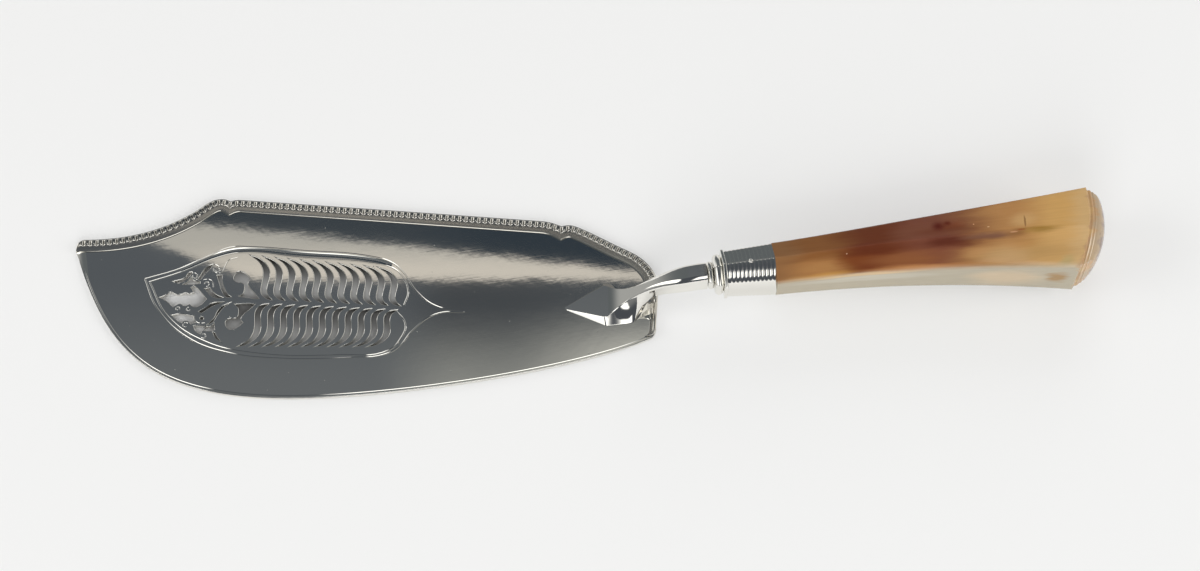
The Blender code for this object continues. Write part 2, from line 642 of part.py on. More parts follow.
def handle_section(share):
    """Half width, half flank and ridge rise of the handle, from the ferrule to the butt."""
    front = ferrule_flat(1.0)
    wide = front + (HANDLE_BUTT_WIDTH / 2.0 - front) * share ** 1.6
    flank = front * HEX_SIDE
    flank += (HANDLE_BUTT_SIDE / 2.0 - flank) * (0.75 * share + 0.25 * share ** 4)
    roof = HANDLE_BUTT_ROOF + (front * HEX_SIDE - HANDLE_BUTT_ROOF) * (1.0 - share ** 2.6)
    return wide, flank, roof


def handle_ring(section, along, scale=1.0, roundness=0.0, skew=0.0):
    """One ring of the handle; roundness draws the section towards an oval."""
    wide, flank, roof = section
    ring = []
    for point in hexagon(wide, flank, roof):
        turn = math.atan2(point.y / wide, point.x / (flank + roof))
        oval = Vector(((flank + roof) * math.cos(turn), wide * math.sin(turn)))
        spot = point.lerp(oval, roundness) * scale
        ring.append((spot.x, spot.y, along - spot.y * math.tan(BUTT_SKEW) * skew))
    return ring


def handle_rings(front, shoulder):
    """Tenon, body, stepped edge and dome, from the end plate to the butt."""
    rings = []
    for share in (0.0, 1.0):
        flat = tenon_flat(share)
        along = front + CLEARANCE if share == 0.0 else shoulder
        rings.append(handle_ring((flat, flat * HEX_SIDE, flat * HEX_SIDE), along))
    bodies = 10
    for i in range(bodies + 1):
        share = i / bodies
        rings.append(handle_ring(handle_section(share), shoulder + share * HANDLE_LENGTH, skew=share ** 2))
    edge = shoulder + HANDLE_LENGTH
    butt = handle_section(1.0)
    rings.append(handle_ring(butt, edge + 0.4 * BUTT_STEP, 0.95, 0.1, 1.0))
    rings.append(handle_ring(butt, edge + BUTT_STEP, 0.92, 0.2, 1.0))
    domes = 6
    for i in range(1, domes + 1):
        turn = 0.47 * math.pi * i / domes
        along = edge + BUTT_STEP + DOME_HEIGHT * math.sin(turn)
        rings.append(handle_ring(butt, along, 0.92 * math.cos(turn), 0.2 + 0.8 * i / domes, 1.0))
    return rings


def add_handle(group, cutters, axis, front, pin_place):
    shoulder = front + FERRULE_LENGTH + CLEARANCE
    horn = new_material("horn", (0.36, 0.20, 0.09), 0.32, 0.0)
    handle = add_object("handle", loft("handle", handle_rings(front, shoulder)), group, horn)
    handle.matrix_world = axis
    depth = front + TANG_REACH + 3.0 * CLEARANCE
    add_cut(handle, add_cutter("bore", BORE_DIAMETER / 2.0, (front - CLEARANCE, depth), 16, cutters, axis))
    bottom = pin_bottom() - CLEARANCE
    radius = PIN_DIAMETER / 2.0 + CLEARANCE
    add_cut(handle, add_cutter("pin socket", radius, (bottom, FERRULE_REAR_FLATS), 12, cutters, pin_place))


def pin_bottom():
    """Height above the axis at which the pin ends in the horn."""
    return tenon_flat(0.5) * HEX_CORNER - PIN_DEPTH


def pin_matrix(axis, front):
    """Local Z points straight up through the ferrule's ridge, at mid length."""
    upright = Matrix.Rotation(math.pi / 2.0, 4, "Y")
    return axis @ Matrix.Translation((0.0, 0.0, front + FERRULE_LENGTH / 2.0)) @ upright


def add_pin(group, pin_place):
    top = ferrule_flat(0.5) * HEX_CORNER + PIN_HEAD
    radius = PIN_DIAMETER / 2.0
    pin = add_rod("ferrule_pin", (radius, radius), (pin_bottom(), top), 12, group, pin_place)
    pin.data.materials.append(silver("ferrule pin silver"))


def add_tang(group, axis, front):
    """Tapered rod from the stem's socket to the end of the filling."""
    radii = (TANG_FRONT_DIAMETER / 2.0, TANG_REAR_DIAMETER / 2.0)
    tang = add_rod("tang", radii, (-TANG_SOCKET, front + TANG_REACH), 12, group, axis)
    tang.data.materials.append(new_material("tang steel", (0.42, 0.42, 0.43), 0.4, 1.0))


def add_filling(group, axis, front):
    """Sleeve of cement between the tang and the bore."""
    outer = BORE_DIAMETER / 2.0 - CLEARANCE
    start = front + CLEARANCE
    length = TANG_REACH - CLEARANCE
    slope = (TANG_FRONT_DIAMETER - TANG_REAR_DIAMETER) / 2.0 / (TANG_SOCKET + front + TANG_REACH)
    hole = [TANG_FRONT_DIAMETER / 2.0 + CLEARANCE - slope * (TANG_SOCKET + along)
            for along in (start, start + length)]
    mesh, steps = turned("resin_filling", [(outer, length), (outer, 0.0), (hole[0], 0.0), (hole[1], length)], 16)
    filling = add_object("resin_filling", mesh, group, new_material("cement", (0.10, 0.06, 0.04), 0.6, 0.0))
    filling.matrix_world = axis @ Matrix.Translation((0.0, 0.0, start))
    add_screw(filling, steps)


def build():
    clear_scene()
    group = new_collection("fish slice")
    cutters = new_collection("cutters")
    axis = axis_matrix()
    add_blade(group)
    add_borders(group)
    add_stem(group, cutters, axis)
    front = add_collar(group, axis)
    pin_place = pin_matrix(axis, front)
    add_ferrule(group, cutters, axis, front, pin_place)
    add_pin(group, pin_place)
    add_tang(group, axis, front)
    add_filling(group, axis, front)
    add_handle(group, cutters, axis, front, pin_place)


build()
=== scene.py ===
"""Looks of the fish slice: polished silver with a pierced and engraved blade, and a streaked horn handle.

Lengths are in metres where nothing else is said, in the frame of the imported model: X along the blade's
spine towards the handle, Y towards the gadrooned back, Z up from the table.
"""
import math

import bmesh
import bpy
from mathutils import Matrix, Vector


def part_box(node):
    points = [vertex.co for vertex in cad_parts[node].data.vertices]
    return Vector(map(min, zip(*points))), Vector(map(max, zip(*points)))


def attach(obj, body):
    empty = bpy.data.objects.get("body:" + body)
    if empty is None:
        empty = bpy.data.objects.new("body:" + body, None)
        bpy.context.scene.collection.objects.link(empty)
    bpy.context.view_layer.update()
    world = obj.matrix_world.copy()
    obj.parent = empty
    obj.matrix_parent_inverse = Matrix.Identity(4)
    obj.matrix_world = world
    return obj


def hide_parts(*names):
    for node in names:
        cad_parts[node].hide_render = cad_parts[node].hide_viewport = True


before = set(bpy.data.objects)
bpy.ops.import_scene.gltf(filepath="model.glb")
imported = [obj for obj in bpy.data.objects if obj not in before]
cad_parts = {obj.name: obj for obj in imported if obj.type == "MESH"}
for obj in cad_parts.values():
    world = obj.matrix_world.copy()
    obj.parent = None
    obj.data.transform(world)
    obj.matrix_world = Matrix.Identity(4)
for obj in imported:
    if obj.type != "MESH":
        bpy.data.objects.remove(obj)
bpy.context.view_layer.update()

MM = 0.001

# Camera, matched to the photograph
IMAGE_WIDTH = 1200.0
IMAGE_HEIGHT = 571.0
LENS = 90.0
SENSOR = 36.0
FOCAL = IMAGE_WIDTH * LENS / SENSOR  # focal length in pixels
VIEW_ELEVATION = math.radians(65.0)
VIEW_TURN = math.radians(2.97)
VIEW_DISTANCE = 928.8 * MM
ORIGIN_PIXEL = (607.0, 319.5)  # where the part's origin lies in the photograph

# Blade
BLADE_THICKNESS = 1.3 * MM
EDGE_ROUND = 0.25 * MM  # worn rounding on every edge of the plate
TIP_CORNER = 2.5 * MM
CORNER_TURN = math.radians(60.0)  # an outline that turns more than this keeps its corner
SLOT_OPEN = 0.70  # share of a slot's width that is open between its rounded lips
SLOT_START = -110.0 * MM  # a cut-out that reaches past this is a slot of the fish bone

THIN_CUT = (0.32 * MM, 0.16 * MM)  # radius and depth of a graver's cut
FINE_CUT = (0.24 * MM, 0.11 * MM)  # the same of the scrolls' cuts
WIDE_CUT = (3.2 * MM, 0.13 * MM)  # and of the shallow channel inside the frame
THREAD_INSET = 0.75 * MM  # engraved thread inside the lower edge
THREAD_STEP = 5.0 * MM  # between its points
THREAD_END = 2.0 * MM  # kept clear at each end
# Worn bevel at the front of the tip: its inner line, and the tilt of each strip outward from that line
TIP_BEVEL = (Vector((-163.7 * MM, 14.1 * MM, BLADE_THICKNESS)),
             Vector((-160.8 * MM, 1.1 * MM, BLADE_THICKNESS)))
TIP_BEVEL_TILTS = (math.radians(8.0), math.radians(18.0), math.radians(32.0))
TIP_BEVEL_STRIP = 1.1 * MM
TIP_CUTTER = (12.0 * MM, 4.0 * MM)  # width and height of the block that cuts each strip
JOIN = 0.002 * MM  # points closer than this are made one
SLIVER = 0.003 * MM  # faces thinner than this are cleared
# Engraved frame round the piercing, in millimetres: its shallow channel along the top, then the outer line
# above and below and the inner lines
ENGRAVED_CHANNEL = ((-133.6, 9.3), (-121.5, 15.6), (-114.9, 17.3), (-97.0, 16.9),
                    (-73.3, 15.9), (-67.8, 14.6))
ENGRAVED_LINES = (
    ((-144.2, 5.8), (-133.7, 9.9), (-124.9, 14.9), (-118.9, 18.0), (-112.7, 18.5), (-97.0, 18.1),
     (-73.4, 17.0), (-67.9, 15.4), (-64.2, 12.3), (-59.4, 5.9), (-53.4, 1.4), (-43.1, -0.2)),
    ((-43.1, -0.2), (-53.2, -1.6), (-59.9, -7.6), (-63.2, -12.7), (-67.8, -15.9), (-78.2, -17.5),
     (-102.7, -18.9), (-115.2, -17.9), (-128.7, -13.4), (-139.3, -3.9), (-144.2, 5.8)),
    ((-142.8, 4.8), (-133.6, 8.6), (-121.7, 14.7), (-115.6, 16.4), (-96.7, 15.7), (-73.2, 14.8),
     (-67.8, 13.7), (-64.1, 10.6), (-62.1, 5.6), (-63.0, 1.1)),
    ((-65.4, -0.9), (-62.1, -5.3), (-63.1, -10.1), (-66.7, -14.5), (-81.3, -16.8), (-109.1, -17.4),
     (-123.3, -14.4), (-135.6, -6.6), (-142.6, 4.8)),
)
# Engraved scrolls among the front cut-outs, in millimetres: stalks, then curls as middle, radius and the
# eighth of a turn that they start at
ENGRAVED_STALKS = (
    ((-135.1, 4.9), (-133.0, 5.3), (-131.3, 6.3), (-130.3, 8.1), (-129.1, 8.6), (-127.9, 7.8)),
    ((-129.1, 6.2), (-127.8, 6.5), (-126.6, 8.1), (-125.5, 10.1), (-124.3, 11.5),
     (-123.0, 11.8), (-121.7, 11.2)),
    ((-123.3, 10.7), (-123.0, 9.5), (-121.5, 8.9), (-120.4, 9.6), (-119.7, 11.6),
     (-118.9, 13.4), (-116.1, 14.7)),
    ((-126.0, 6.4), (-124.2, 6.6), (-123.0, 5.6), (-122.6, 4.1)),
    ((-127.7, -5.9), (-127.1, -7.6), (-125.7, -8.4), (-124.0, -8.2)),
    ((-117.6, -1.5), (-119.6, -2.8), (-120.7, -5.1), (-121.6, -7.1), (-123.0, -8.7)),
)
ENGRAVED_CURLS = (
    (-132.9, -3.9, 0.7, 0), (-129.5, -3.9, 0.7, 2), (-129.9, -9.3, 0.9, 1), (-124.0, -12.6, 0.9, 5),
    (-124.9, 5.0, 0.9, 6), (-128.7, 7.4, 0.8, 3), (-121.9, 10.1, 0.8, 4),
)

# Gadrooned border
BORDER_WIDTH = 4.2 * MM
LOBE_PITCH = 2.0 * MM
NOTCH_HALF = 2.6 * MM
CUSP_DEPTH = 0.7 * MM
HEEL_PLAIN = 8.0 * MM  # at the heel the lobes die away at this height above the spine
HEEL_FADE = 1.5 * MM
HEEL_SQUEEZE = 0.5  # width of the plain strip as a share of the whole
# Its profile, in millimetres from the rim or above the blade
RIM_SLOPE = (0.4, 0.16, 0.47)  # where the plain slope at the rim ends, its first height and its rise
LOBE_FULL = (0.7, 1.6)  # a lobe has its full height between these
LOBE_LENGTH = 2.3  # from the rim to the lobes' inner ends
LOBE_HEIGHTS = (0.35, 0.59)  # floor between the lobes, and how far they stand above it
BAND_HEIGHT = 0.36
BAND_LEAN = (0.001, 0.0045)  # how fast the band falls inward, first evenly and then ever faster
BAND_BEVEL = (3.97, 0.22)  # where the bevel at its inner edge starts, and its slope
PLAIN_RISE = 0.50  # height of the bead that stands in for the lobes at the heel
HEEL_TAIL = 1.7 * MM  # how far the strip runs on past the heel's lower corner

# Spear palm and cranked stem
PALM_OFFSET = 4.6 * MM
PALM_LENGTH = 13.3 * MM
PALM_WIDTH = 14.4 * MM  # where it sits on the blade
PALM_BEVELS = (1.6 * MM, 2.3 * MM)  # on the far and on the near side
PALM_BACKS = (0.6 * MM, 1.5 * MM)  # how far each shoulder lies towards the tip
PALM_HEIGHT = 2.0 * MM
CANT = math.radians(9.7)
STEM_RUN = 30.4 * MM
PALM_FALL = 5.7 * MM  # run over which the palm narrows into the stem
PALM_FALL_POWER = 1.3
FOOT_RUN = 9.0 * MM
AXIS_HEIGHT = 14.5 * MM
STEM_FLAT = 1.3 * MM  # flat on top of the stem at its waist
STEM_END_FLAT = 3.5 * MM
STEM_CHAMFER = 1.3 * MM
STEM_END_DEPTH = 8.9 * MM
STEM_STATIONS = 60
STEM_WORN = 0.12 * MM
# Handles of the stem's upper and lower side-view curves, as shares of their run and rise
TOP_PULLS = ((0.262, 0.081), (0.37, 0.964))
UNDER_PULLS = ((0.09, 0.21), (0.14, 1.0))
# Shares of the stem's run over which its shape changes; pairs are for the far and the near side
FLANK_TURNS = ((0.0, 0.25), (0.22, 0.46))  # the flank turns upright
FLANK_BULGES = (0.0, 0.5)  # and how round it grows
BULGE_GROWS = (0.22, 0.4)
SLIP_ENDS = (0.0, 0.35)
BASE_GROWS = (0.24, 0.42)
CHAMFER_GROWS = (0.12, 0.5)
ROUNDING = 0.4
BOW_STEPS = (0.03, 0.2, 0.4, 0.6, 0.8, 0.97)  # points along a rounded line of a section
ROUNDING_GROWS = (0.05, 0.35)
END_WIDENS = (0.4, 0.8)

# Collar, ferrule and handle, as distances along the handle's axis from the end of the stem
DROOP = math.radians(0.9)
FRONT_RING = (0.1 * MM, 2.1 * MM)
FRONT_RING_FLATS = 7.6 * MM
REAR_RING = (2.1 * MM, 4.8 * MM)
REAR_RING_FLATS = 11.0 * MM
PLATE = (4.8 * MM, 5.8 * MM)
PLATE_LIP = 0.25 * MM
PLATE_ROUND = 0.2 * MM
RING_ROUND = 0.35 * MM
FERRULE = (5.8 * MM, 20.8 * MM)
FERRULE_FRONT_FLATS = 12.6 * MM
FERRULE_REAR_FLATS = 14.2 * MM
FERRULE_LIP = 1.0 * MM  # how far its two ends reach inward
FERRULE_WEAR = (5.0 * MM, 1.5 * MM, 0.35 * MM)  # on its upper near corner, other side corners and ridges
REED_COUNT = 12
REED_DEPTH = 0.10 * MM
PIN_DIAMETER = 1.3 * MM
PIN_DOME = 0.55  # height of its head as a share of a half round
PIN_SHANK = 1.2 * MM
PIN_SUNK = 0.15 * MM
HANDLE_START = 20.8 * MM
HANDLE_END = 115.9 * MM
HANDLE_BUTT_WIDTH = 26.6 * MM
HANDLE_BUTT_SIDE = 17.0 * MM
HANDLE_BUTT_ROOF = 0.9 * MM
WIDTH_POWER = 1.6  # how late along it the handle widens
ROOF_POWER = 2.6  # how late its ridges flatten
SIDE_SHARES = (0.75, 0.25)  # of its upright sides' growth, even and near the butt
HANDLE_RIDGE_ROUND = 0.2 * MM
HANDLE_EDGE_ROUND = 0.6 * MM
BUTT_SKEW = math.radians(14.0)
BUTT_BULGE = 1.9 * MM  # how far the middle of the butt's edge stands out
DOME_HEIGHT = 3.5 * MM
DOME_STEPS = 14
DOME_TURN = 0.485 * math.pi  # stops just short of the pole
HANDLE_BOW = 0.9 * MM  # how far the middle of the handle lies to the far side

HORN_MAP = "horn"

HEX_CORNER = 1.0 / math.cos(math.pi / 6.0)
HEX_SIDE = math.tan(math.pi / 6.0)


def view_axes():
    """Right, up and forward of the photograph's camera."""
    right = Vector((math.cos(VIEW_TURN), math.sin(VIEW_TURN), 0.0))
    level = Vector((-math.sin(VIEW_TURN), math.cos(VIEW_TURN), 0.0))
    ahead = level * math.cos(VIEW_ELEVATION) - Vector((0.0, 0.0, math.sin(VIEW_ELEVATION)))
    return right, right.cross(ahead), ahead


def add_camera():
    right, up, ahead = view_axes()
    across = (ORIGIN_PIXEL[0] - IMAGE_WIDTH / 2.0) / FOCAL
    down = (ORIGIN_PIXEL[1] - IMAGE_HEIGHT / 2.0) / FOCAL
    eye = -VIEW_DISTANCE * (ahead + across * right - down * up)
    lens = bpy.data.cameras.new("camera")
    lens.lens = LENS
    lens.sensor_width = SENSOR
    lens.clip_start = 10.0 * MM
    camera = bpy.data.objects.new("camera", lens)
    camera.matrix_world = Matrix.Translation(eye) @ Matrix((right, up, -ahead)).transposed().to_4x4()
    bpy.context.scene.collection.objects.link(camera)
    bpy.context.scene.camera = camera


def linear(code):
    """A colour written as sRGB hex, as the linear values that the shaders take."""
    parts = [int(code[i:i + 2], 16) / 255.0 for i in (0, 2, 4)]
    return [p / 12.92 if p <= 0.04045 else ((p + 0.055) / 1.055) ** 2.4 for p in parts] + [1.0]


RANGE = "ShaderNodeMapRange"
VECTOR = "ShaderNodeVectorMath"
NOISE = "ShaderNodeTexNoise"
COORDINATES = "ShaderNodeTexCoord"
LIGHT_PATH = "ShaderNodeLightPath"
OUTPUT = "ShaderNodeOutputMaterial"
COLOUR_OUT = 2  # place of the colour among the outputs of a mix


def add(tree, kind, settings, inputs, output=0):
    """Adds a node and gives back one of its outputs; an input is a value or the output that feeds it."""
    item = tree.nodes.new(kind)
    for name, value in settings.items():
        setattr(item, name, value)
    for name, value in inputs.items():
        if isinstance(value, bpy.types.NodeSocket):
            tree.links.new(value, item.inputs[name])
        else:
            item.inputs[name].default_value = value
    return item.outputs[output] if item.outputs else None


def ramp(tree, value, start, end, low=0.0, high=1.0):
    """Goes smoothly from low to high while the value goes from start to end."""
    settings = {"interpolation_type": "SMOOTHSTEP"}
    return add(tree, RANGE, settings, {0: value, 1: start, 2: end, 3: low, 4: high})


def zone(tree, *limits):
    """Share that is whole where every value is past its limits, each a value, a start and an end."""
    share = ramp(tree, *limits[0])
    for limit in limits[1:]:
        share = maths(tree, "MULTIPLY", share, ramp(tree, *limit))
    return share


def mix(tree, share, first, second):
    """A colour between two others, each sRGB hex, linear values or a node's output."""
    first, second = [linear(colour) if isinstance(colour, str) else colour for colour in (first, second)]
    return add(tree, "ShaderNodeMix", {"data_type": "RGBA"}, {0: share, 6: first, 7: second}, COLOUR_OUT)


def maths(tree, operation, *values):
    return add(tree, "ShaderNodeMath", {"operation": operation}, dict(enumerate(values)))


def noise(tree, place, size, detail):
    return add(tree, NOISE, {}, {"Vector": place, "Scale": 1.0 / size, "Detail": detail})


def bump(tree, height, distance, strength=1.0, normal=None):
    """Tilts the light as if the surface rose by this distance; a normal is what was tilted before."""
    inputs = {"Strength": strength, "Distance": distance, "Height": height}
    if normal:
        inputs["Normal"] = normal
    return add(tree, "ShaderNodeBump", {}, inputs)


def stretched(tree, inputs):
    """Coordinates in a frame with its own place, turn and size."""
    return add(tree, "ShaderNodeMapping", {"vector_type": "TEXTURE"}, inputs)


def oval(tree, place, middle, reach):
    """Distance from the middle of an oval, which is 1 at its edge."""
    apart = stretched(tree, {"Vector": place, "Location": (*middle, 0.0), "Scale": (*reach, 1.0)})
    return add(tree, VECTOR, {"operation": "LENGTH"}, {0: apart}, "Value")


def new_material(name):
    """An empty material, its nodes and the coordinates on the object."""
    material = bpy.data.materials.new(name)
    material.use_nodes = True
    tree = material.node_tree
    tree.nodes.clear()
    return material, tree, add(tree, COORDINATES, {}, {}, "Object")


def finished(material, inputs):
    """Gives the material its shader."""
    tree = material.node_tree
    add(tree, OUTPUT, {}, {"Surface": add(tree, "ShaderNodeBsdfPrincipled", {}, inputs)})
    return material


def polished_silver(name, roughness, wear=0.0, colour="f3f1eb"):
    """Hand-polished silver: a bright warm mirror with faint ripples; wear adds pits and scratches."""
    material, tree, place = new_material(name)
    normal = bump(tree, noise(tree, place, 9.0 * MM, 3.0), 0.003 * MM)
    if wear:
        normal = bump(tree, noise(tree, place, 2.4 * MM, 2.0), 0.0005 * MM, wear, normal)
        pits = add(tree, "ShaderNodeTexVoronoi", {}, {"Vector": place, "Scale": 1.0 / (4.5 * MM)})
        normal = bump(tree, ramp(tree, pits, 0.0, 0.045), 0.05 * MM, wear, normal)
        lines = stretched(tree, {"Vector": place, "Rotation": (0.0, 0.0, math.radians(12.0)),
                                 "Scale": (30.0 * MM, 0.5 * MM, MM)})
        normal = bump(tree, noise(tree, lines, 1.0, 2.0), 0.0002 * MM, wear, normal)
    return finished(material, {
        "Base Color": linear(colour), "Metallic": 1.0, "Roughness": roughness, "Normal": normal})


def forged_steel(name):
    """Plain forged steel: dark grey scale with a blotchy, pitted surface."""
    material, tree, place = new_material(name)
    scale = noise(tree, place, 1.5 * MM, 5.0)
    gloss = add(tree, RANGE, {}, {0: scale, 1: 0.3, 2: 0.7, 3: 0.35, 4: 0.6})
    return finished(material, {
        "Base Color": mix(tree, scale, "3f3f42", "7d7d7f"), "Metallic": 1.0, "Roughness": gloss,
        "Normal": bump(tree, scale, 0.03 * MM, 0.5)})


def cutlers_resin(name):
    """Resin and brick dust, poured hot: near black brown with paler grains."""
    material, tree, place = new_material(name)
    grain = noise(tree, place, 0.6 * MM, 3.0)
    return finished(material, {
        "Base Color": mix(tree, ramp(tree, grain, 0.5, 0.75), "2b1b14", "5a3a2a"), "Roughness": 0.55,
        "Normal": bump(tree, grain, 0.05 * MM, 0.4)})


# Colours along the horn, each reached between two shares of its length
HORN_LENGTHWISE = (
    (0.02, 0.12, "86572f"), (0.14, 0.30, "6a351c"), (0.34, 0.48, "764432"), (0.52, 0.64, "865636"),
    (0.60, 0.74, "b0804d"), (0.76, 0.90, "c89d60"), (0.92, 0.99, "c8a573"), (0.995, 1.01, "b8946c"),
    (1.01, 1.03, "b09a7e"), (1.04, 1.064, "8c7a70"),
)
# Clouds in the horn: middle and reach along it, middle and reach round it, colour and strength; round it, 0
# is the top ridge, -1 the far edge, 1 the upper and 2 the lower edge of the near side
HORN_CLOUDS = (
    (0.13, 0.14, 0.60, 0.50, "a87a4a", 0.8),
    (0.05, 0.09, 0.95, 0.25, "b28854", 0.7),
    (0.15, 0.12, 0.92, 0.20, "c2924f", 0.8),
    (0.30, 0.13, 0.22, 0.50, "65301a", 0.9),
    (0.26, 0.11, 0.50, 0.32, "76401f", 0.8),
    (0.42, 0.18, 0.62, 0.42, "875431", 0.85),
    (0.47, 0.30, 0.94, 0.20, "bc8452", 0.85),
    (0.45, 0.12, -0.35, 0.50, "784833", 0.7),
    # A painted sheen along the far edge
    (0.40, 0.50, -1.10, 0.25, "86614f", 0.7),
    (0.80, 0.30, 0.64, 0.48, "ae8852", 0.9),
    (0.77, 0.08, 0.40, 0.22, "b08048", 0.6),
    (0.56, 0.12, 0.16, 0.28, "5c2a1c", 0.95),
    (0.68, 0.12, 0.11, 0.15, "75503e", 0.9),
    (0.77, 0.06, 0.08, 0.13, "8a6038", 0.8),
    (0.85, 0.09, 0.04, 0.14, "94702f", 0.9),
    (0.955, 0.04, 0.86, 0.18, "ad9967", 0.7),
    (0.575, 0.055, -0.42, 0.28, "7e4426", 0.8),
    (0.79, 0.07, -0.32, 0.34, "cda66f", 0.6),
    (0.64, 0.07, 0.56, 0.26, "b88a58", 0.5),
    (0.55, 0.13, -0.26, 0.26, "68321a", 0.6),
    (0.45, 0.60, 0.22, 0.24, "4a2410", 0.22),
)
# A dark knot in the far facet, then a hair crack across the ridge and a few light specks
HORN_KNOT = (
    (0.555, 0.045, -0.44, 0.26, "6e361d", 0.8),
    (0.530, 0.030, -0.46, 0.30, "541200", 0.95),
    (0.560, 0.018, -0.54, 0.14, "561400", 0.8),
)
HORN_MARKS = (
    (0.800, 0.0040, -0.26, 0.24, "5a3213", 0.55),
    (0.762, 0.016, 0.05, 0.022, "d8a47c", 0.5),
    (0.786, 0.018, 0.00, 0.030, "8e4c24", 0.7),
    (0.228, 0.0030, 0.22, 0.022, "d8b090", 0.8),
    (0.640, 0.0032, -0.36, 0.024, "e0a878", 0.8),
    (0.684, 0.0050, -0.20, 0.020, "e8c090", 0.7),
)
# Painted highlights along the crests of the two beads at the butt, on the near side
HORN_CREST_HIGHLIGHTS = ((1.0126, 0.0030, 0.50, 0.55, "f2dfc4", 0.75), (1.0231, 0.0026, 0.50, 0.55, "f2dfc4", 0.6))
# Pale upright near side: a painted sheen and painted light through the horn, laid over its colour
HORN_SIDE_SHEEN = "aaa18d"
# Clouds on the upright near side, over its painted sheen
HORN_SIDE_CLOUDS = (
    (0.76, 0.18, 1.52, 0.48, "c0ac8f", 0.95),
    (0.30, 0.30, 1.25, 0.25, "bfb8a8", 0.6),
    # A pale line along the near upper corner is a painted highlight
    (0.28, 0.26, 1.02, 0.10, "cbb08a", 0.8),
    (0.935, 0.05, 1.48, 0.25, "9a7848", 0.95),
)


def polished_horn(name):
    """Polished horn: clouds of dark and golden brown drawn out along its length, with fine pale fibres, and a
    painted sheen and painted highlights.
    """
    material, tree, point = new_material(name)
    place = add(tree, "ShaderNodeUVMap", {"uv_map": HORN_MAP}, {})
    grain = {"Vector": point, "Location": handle_axis().translation, "Rotation": handle_axis().to_euler()}
    coarse = stretched(tree, {**grain, "Scale": (2.2 * MM, 2.2 * MM, 14.0 * MM)})
    drift = add(tree, NOISE, {}, {"Vector": coarse, "Scale": 0.7, "Detail": 4.0, "Roughness": 0.55}, "Color")
    drift = add(tree, VECTOR, {"operation": "SUBTRACT"}, {0: drift, 1: (0.5, 0.5, 0.5)})
    clouded, marked = [
        add(tree, VECTOR, {"operation": "MULTIPLY_ADD"}, {0: drift, 1: reach, 2: place})
        for reach in ((0.10, 0.30, 0.0), (0.012, 0.05, 0.0))]
    along = add(tree, "ShaderNodeSeparateXYZ", {}, {0: clouded}, "X")
    around = add(tree, "ShaderNodeSeparateXYZ", {}, {0: marked}, "Y")
    colour = linear("88603c")
    for start, end, code in HORN_LENGTHWISE:
        colour = mix(tree, ramp(tree, along, start, end), colour, code)
    colour = add_clouds(tree, colour, clouded, HORN_CLOUDS, 0.15)
    colour = add_clouds(tree, colour, marked, HORN_KNOT, 0.0)
    colour = add_clouds(tree, colour, marked, HORN_MARKS, 0.5)
    body = ramp(tree, along, 0.99, 1.02, 1.0, 0.3)
    # The upright near side is painted paler, a painted sheen
    side = maths(tree, "MULTIPLY", ramp(tree, around, 0.84, 1.10), body)
    colour = mix(tree, side, colour, HORN_SIDE_SHEEN)
    colour = add_clouds(tree, colour, clouded, HORN_SIDE_CLOUDS, 0.3)
    # Painted highlights on the crests of the butt's beads
    colour = add_clouds(tree, colour, place, HORN_CREST_HIGHLIGHTS, 0.3)
    fine = stretched(tree, {**grain, "Scale": (0.6 * MM, 0.6 * MM, 18.0 * MM)})
    fibre = noise(tree, fine, 1.0, 3.0)
    fibre = add(tree, RANGE, {}, {0: fibre, 1: 0.3, 2: 0.7, 3: -0.035, 4: 0.035})
    fibre = maths(tree, "MULTIPLY_ADD", fibre, body, 1.0)
    colour = add(tree, VECTOR, {"operation": "SCALE"}, {0: colour, "Scale": fibre})
    return finished(material, {"Base Color": colour, "Roughness": 0.12})


def add_clouds(tree, colour, place, clouds, core):
    """Lays soft oval clouds over a colour; core is the share of each that is at full strength."""
    for middle, reach, turn, spread, code, strength in clouds:
        apart = oval(tree, place, (middle, turn), (reach, spread))
        colour = mix(tree, ramp(tree, apart, core, 1.0, strength, 0.0), colour, code)
    return colour


def make_active(piece):
    bpy.ops.object.select_all(action="DESELECT")
    piece.select_set(True)
    bpy.context.view_layer.objects.active = piece


def new_piece(name, add_shape, **settings):
    """One of the stock shapes, under its own name."""
    bpy.ops.object.select_all(action="DESELECT")
    add_shape(**settings)
    piece = bpy.context.object
    piece.name = name
    piece.data.name = name
    return piece


def start_edit(action):
    """Edit mode with all of the active piece selected, or none of it."""
    bpy.ops.object.mode_set(mode="EDIT")
    bpy.ops.mesh.select_all(action=action)


def end_edit():
    """Turns every face outward and leaves edit mode."""
    bpy.ops.mesh.select_all(action="SELECT")
    bpy.ops.mesh.normals_make_consistent(inside=False)
    bpy.ops.object.mode_set(mode="OBJECT")


def apply_modifiers(piece):
    make_active(piece)
    for modifier in list(piece.modifiers):
        bpy.ops.object.modifier_apply(modifier=modifier.name)


def smooth(piece, angle):
    make_active(piece)
    bpy.ops.object.shade_smooth_by_angle(angle=math.radians(angle))


def hold_facets(piece):
    """Lets broad facets look flat and leaves the turn of the light to the narrow bevels between them."""
    weighted = piece.modifiers.new("facets", "WEIGHTED_NORMAL")
    weighted.weight = 100
    weighted.keep_sharp = True
    apply_modifiers(piece)


def finish_piece(piece, node, material):
    """The piece stands for its CAD node, in its own finish."""
    piece.data.materials.clear()
    piece.data.materials.append(material)
    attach(piece, "root")
    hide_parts(node)


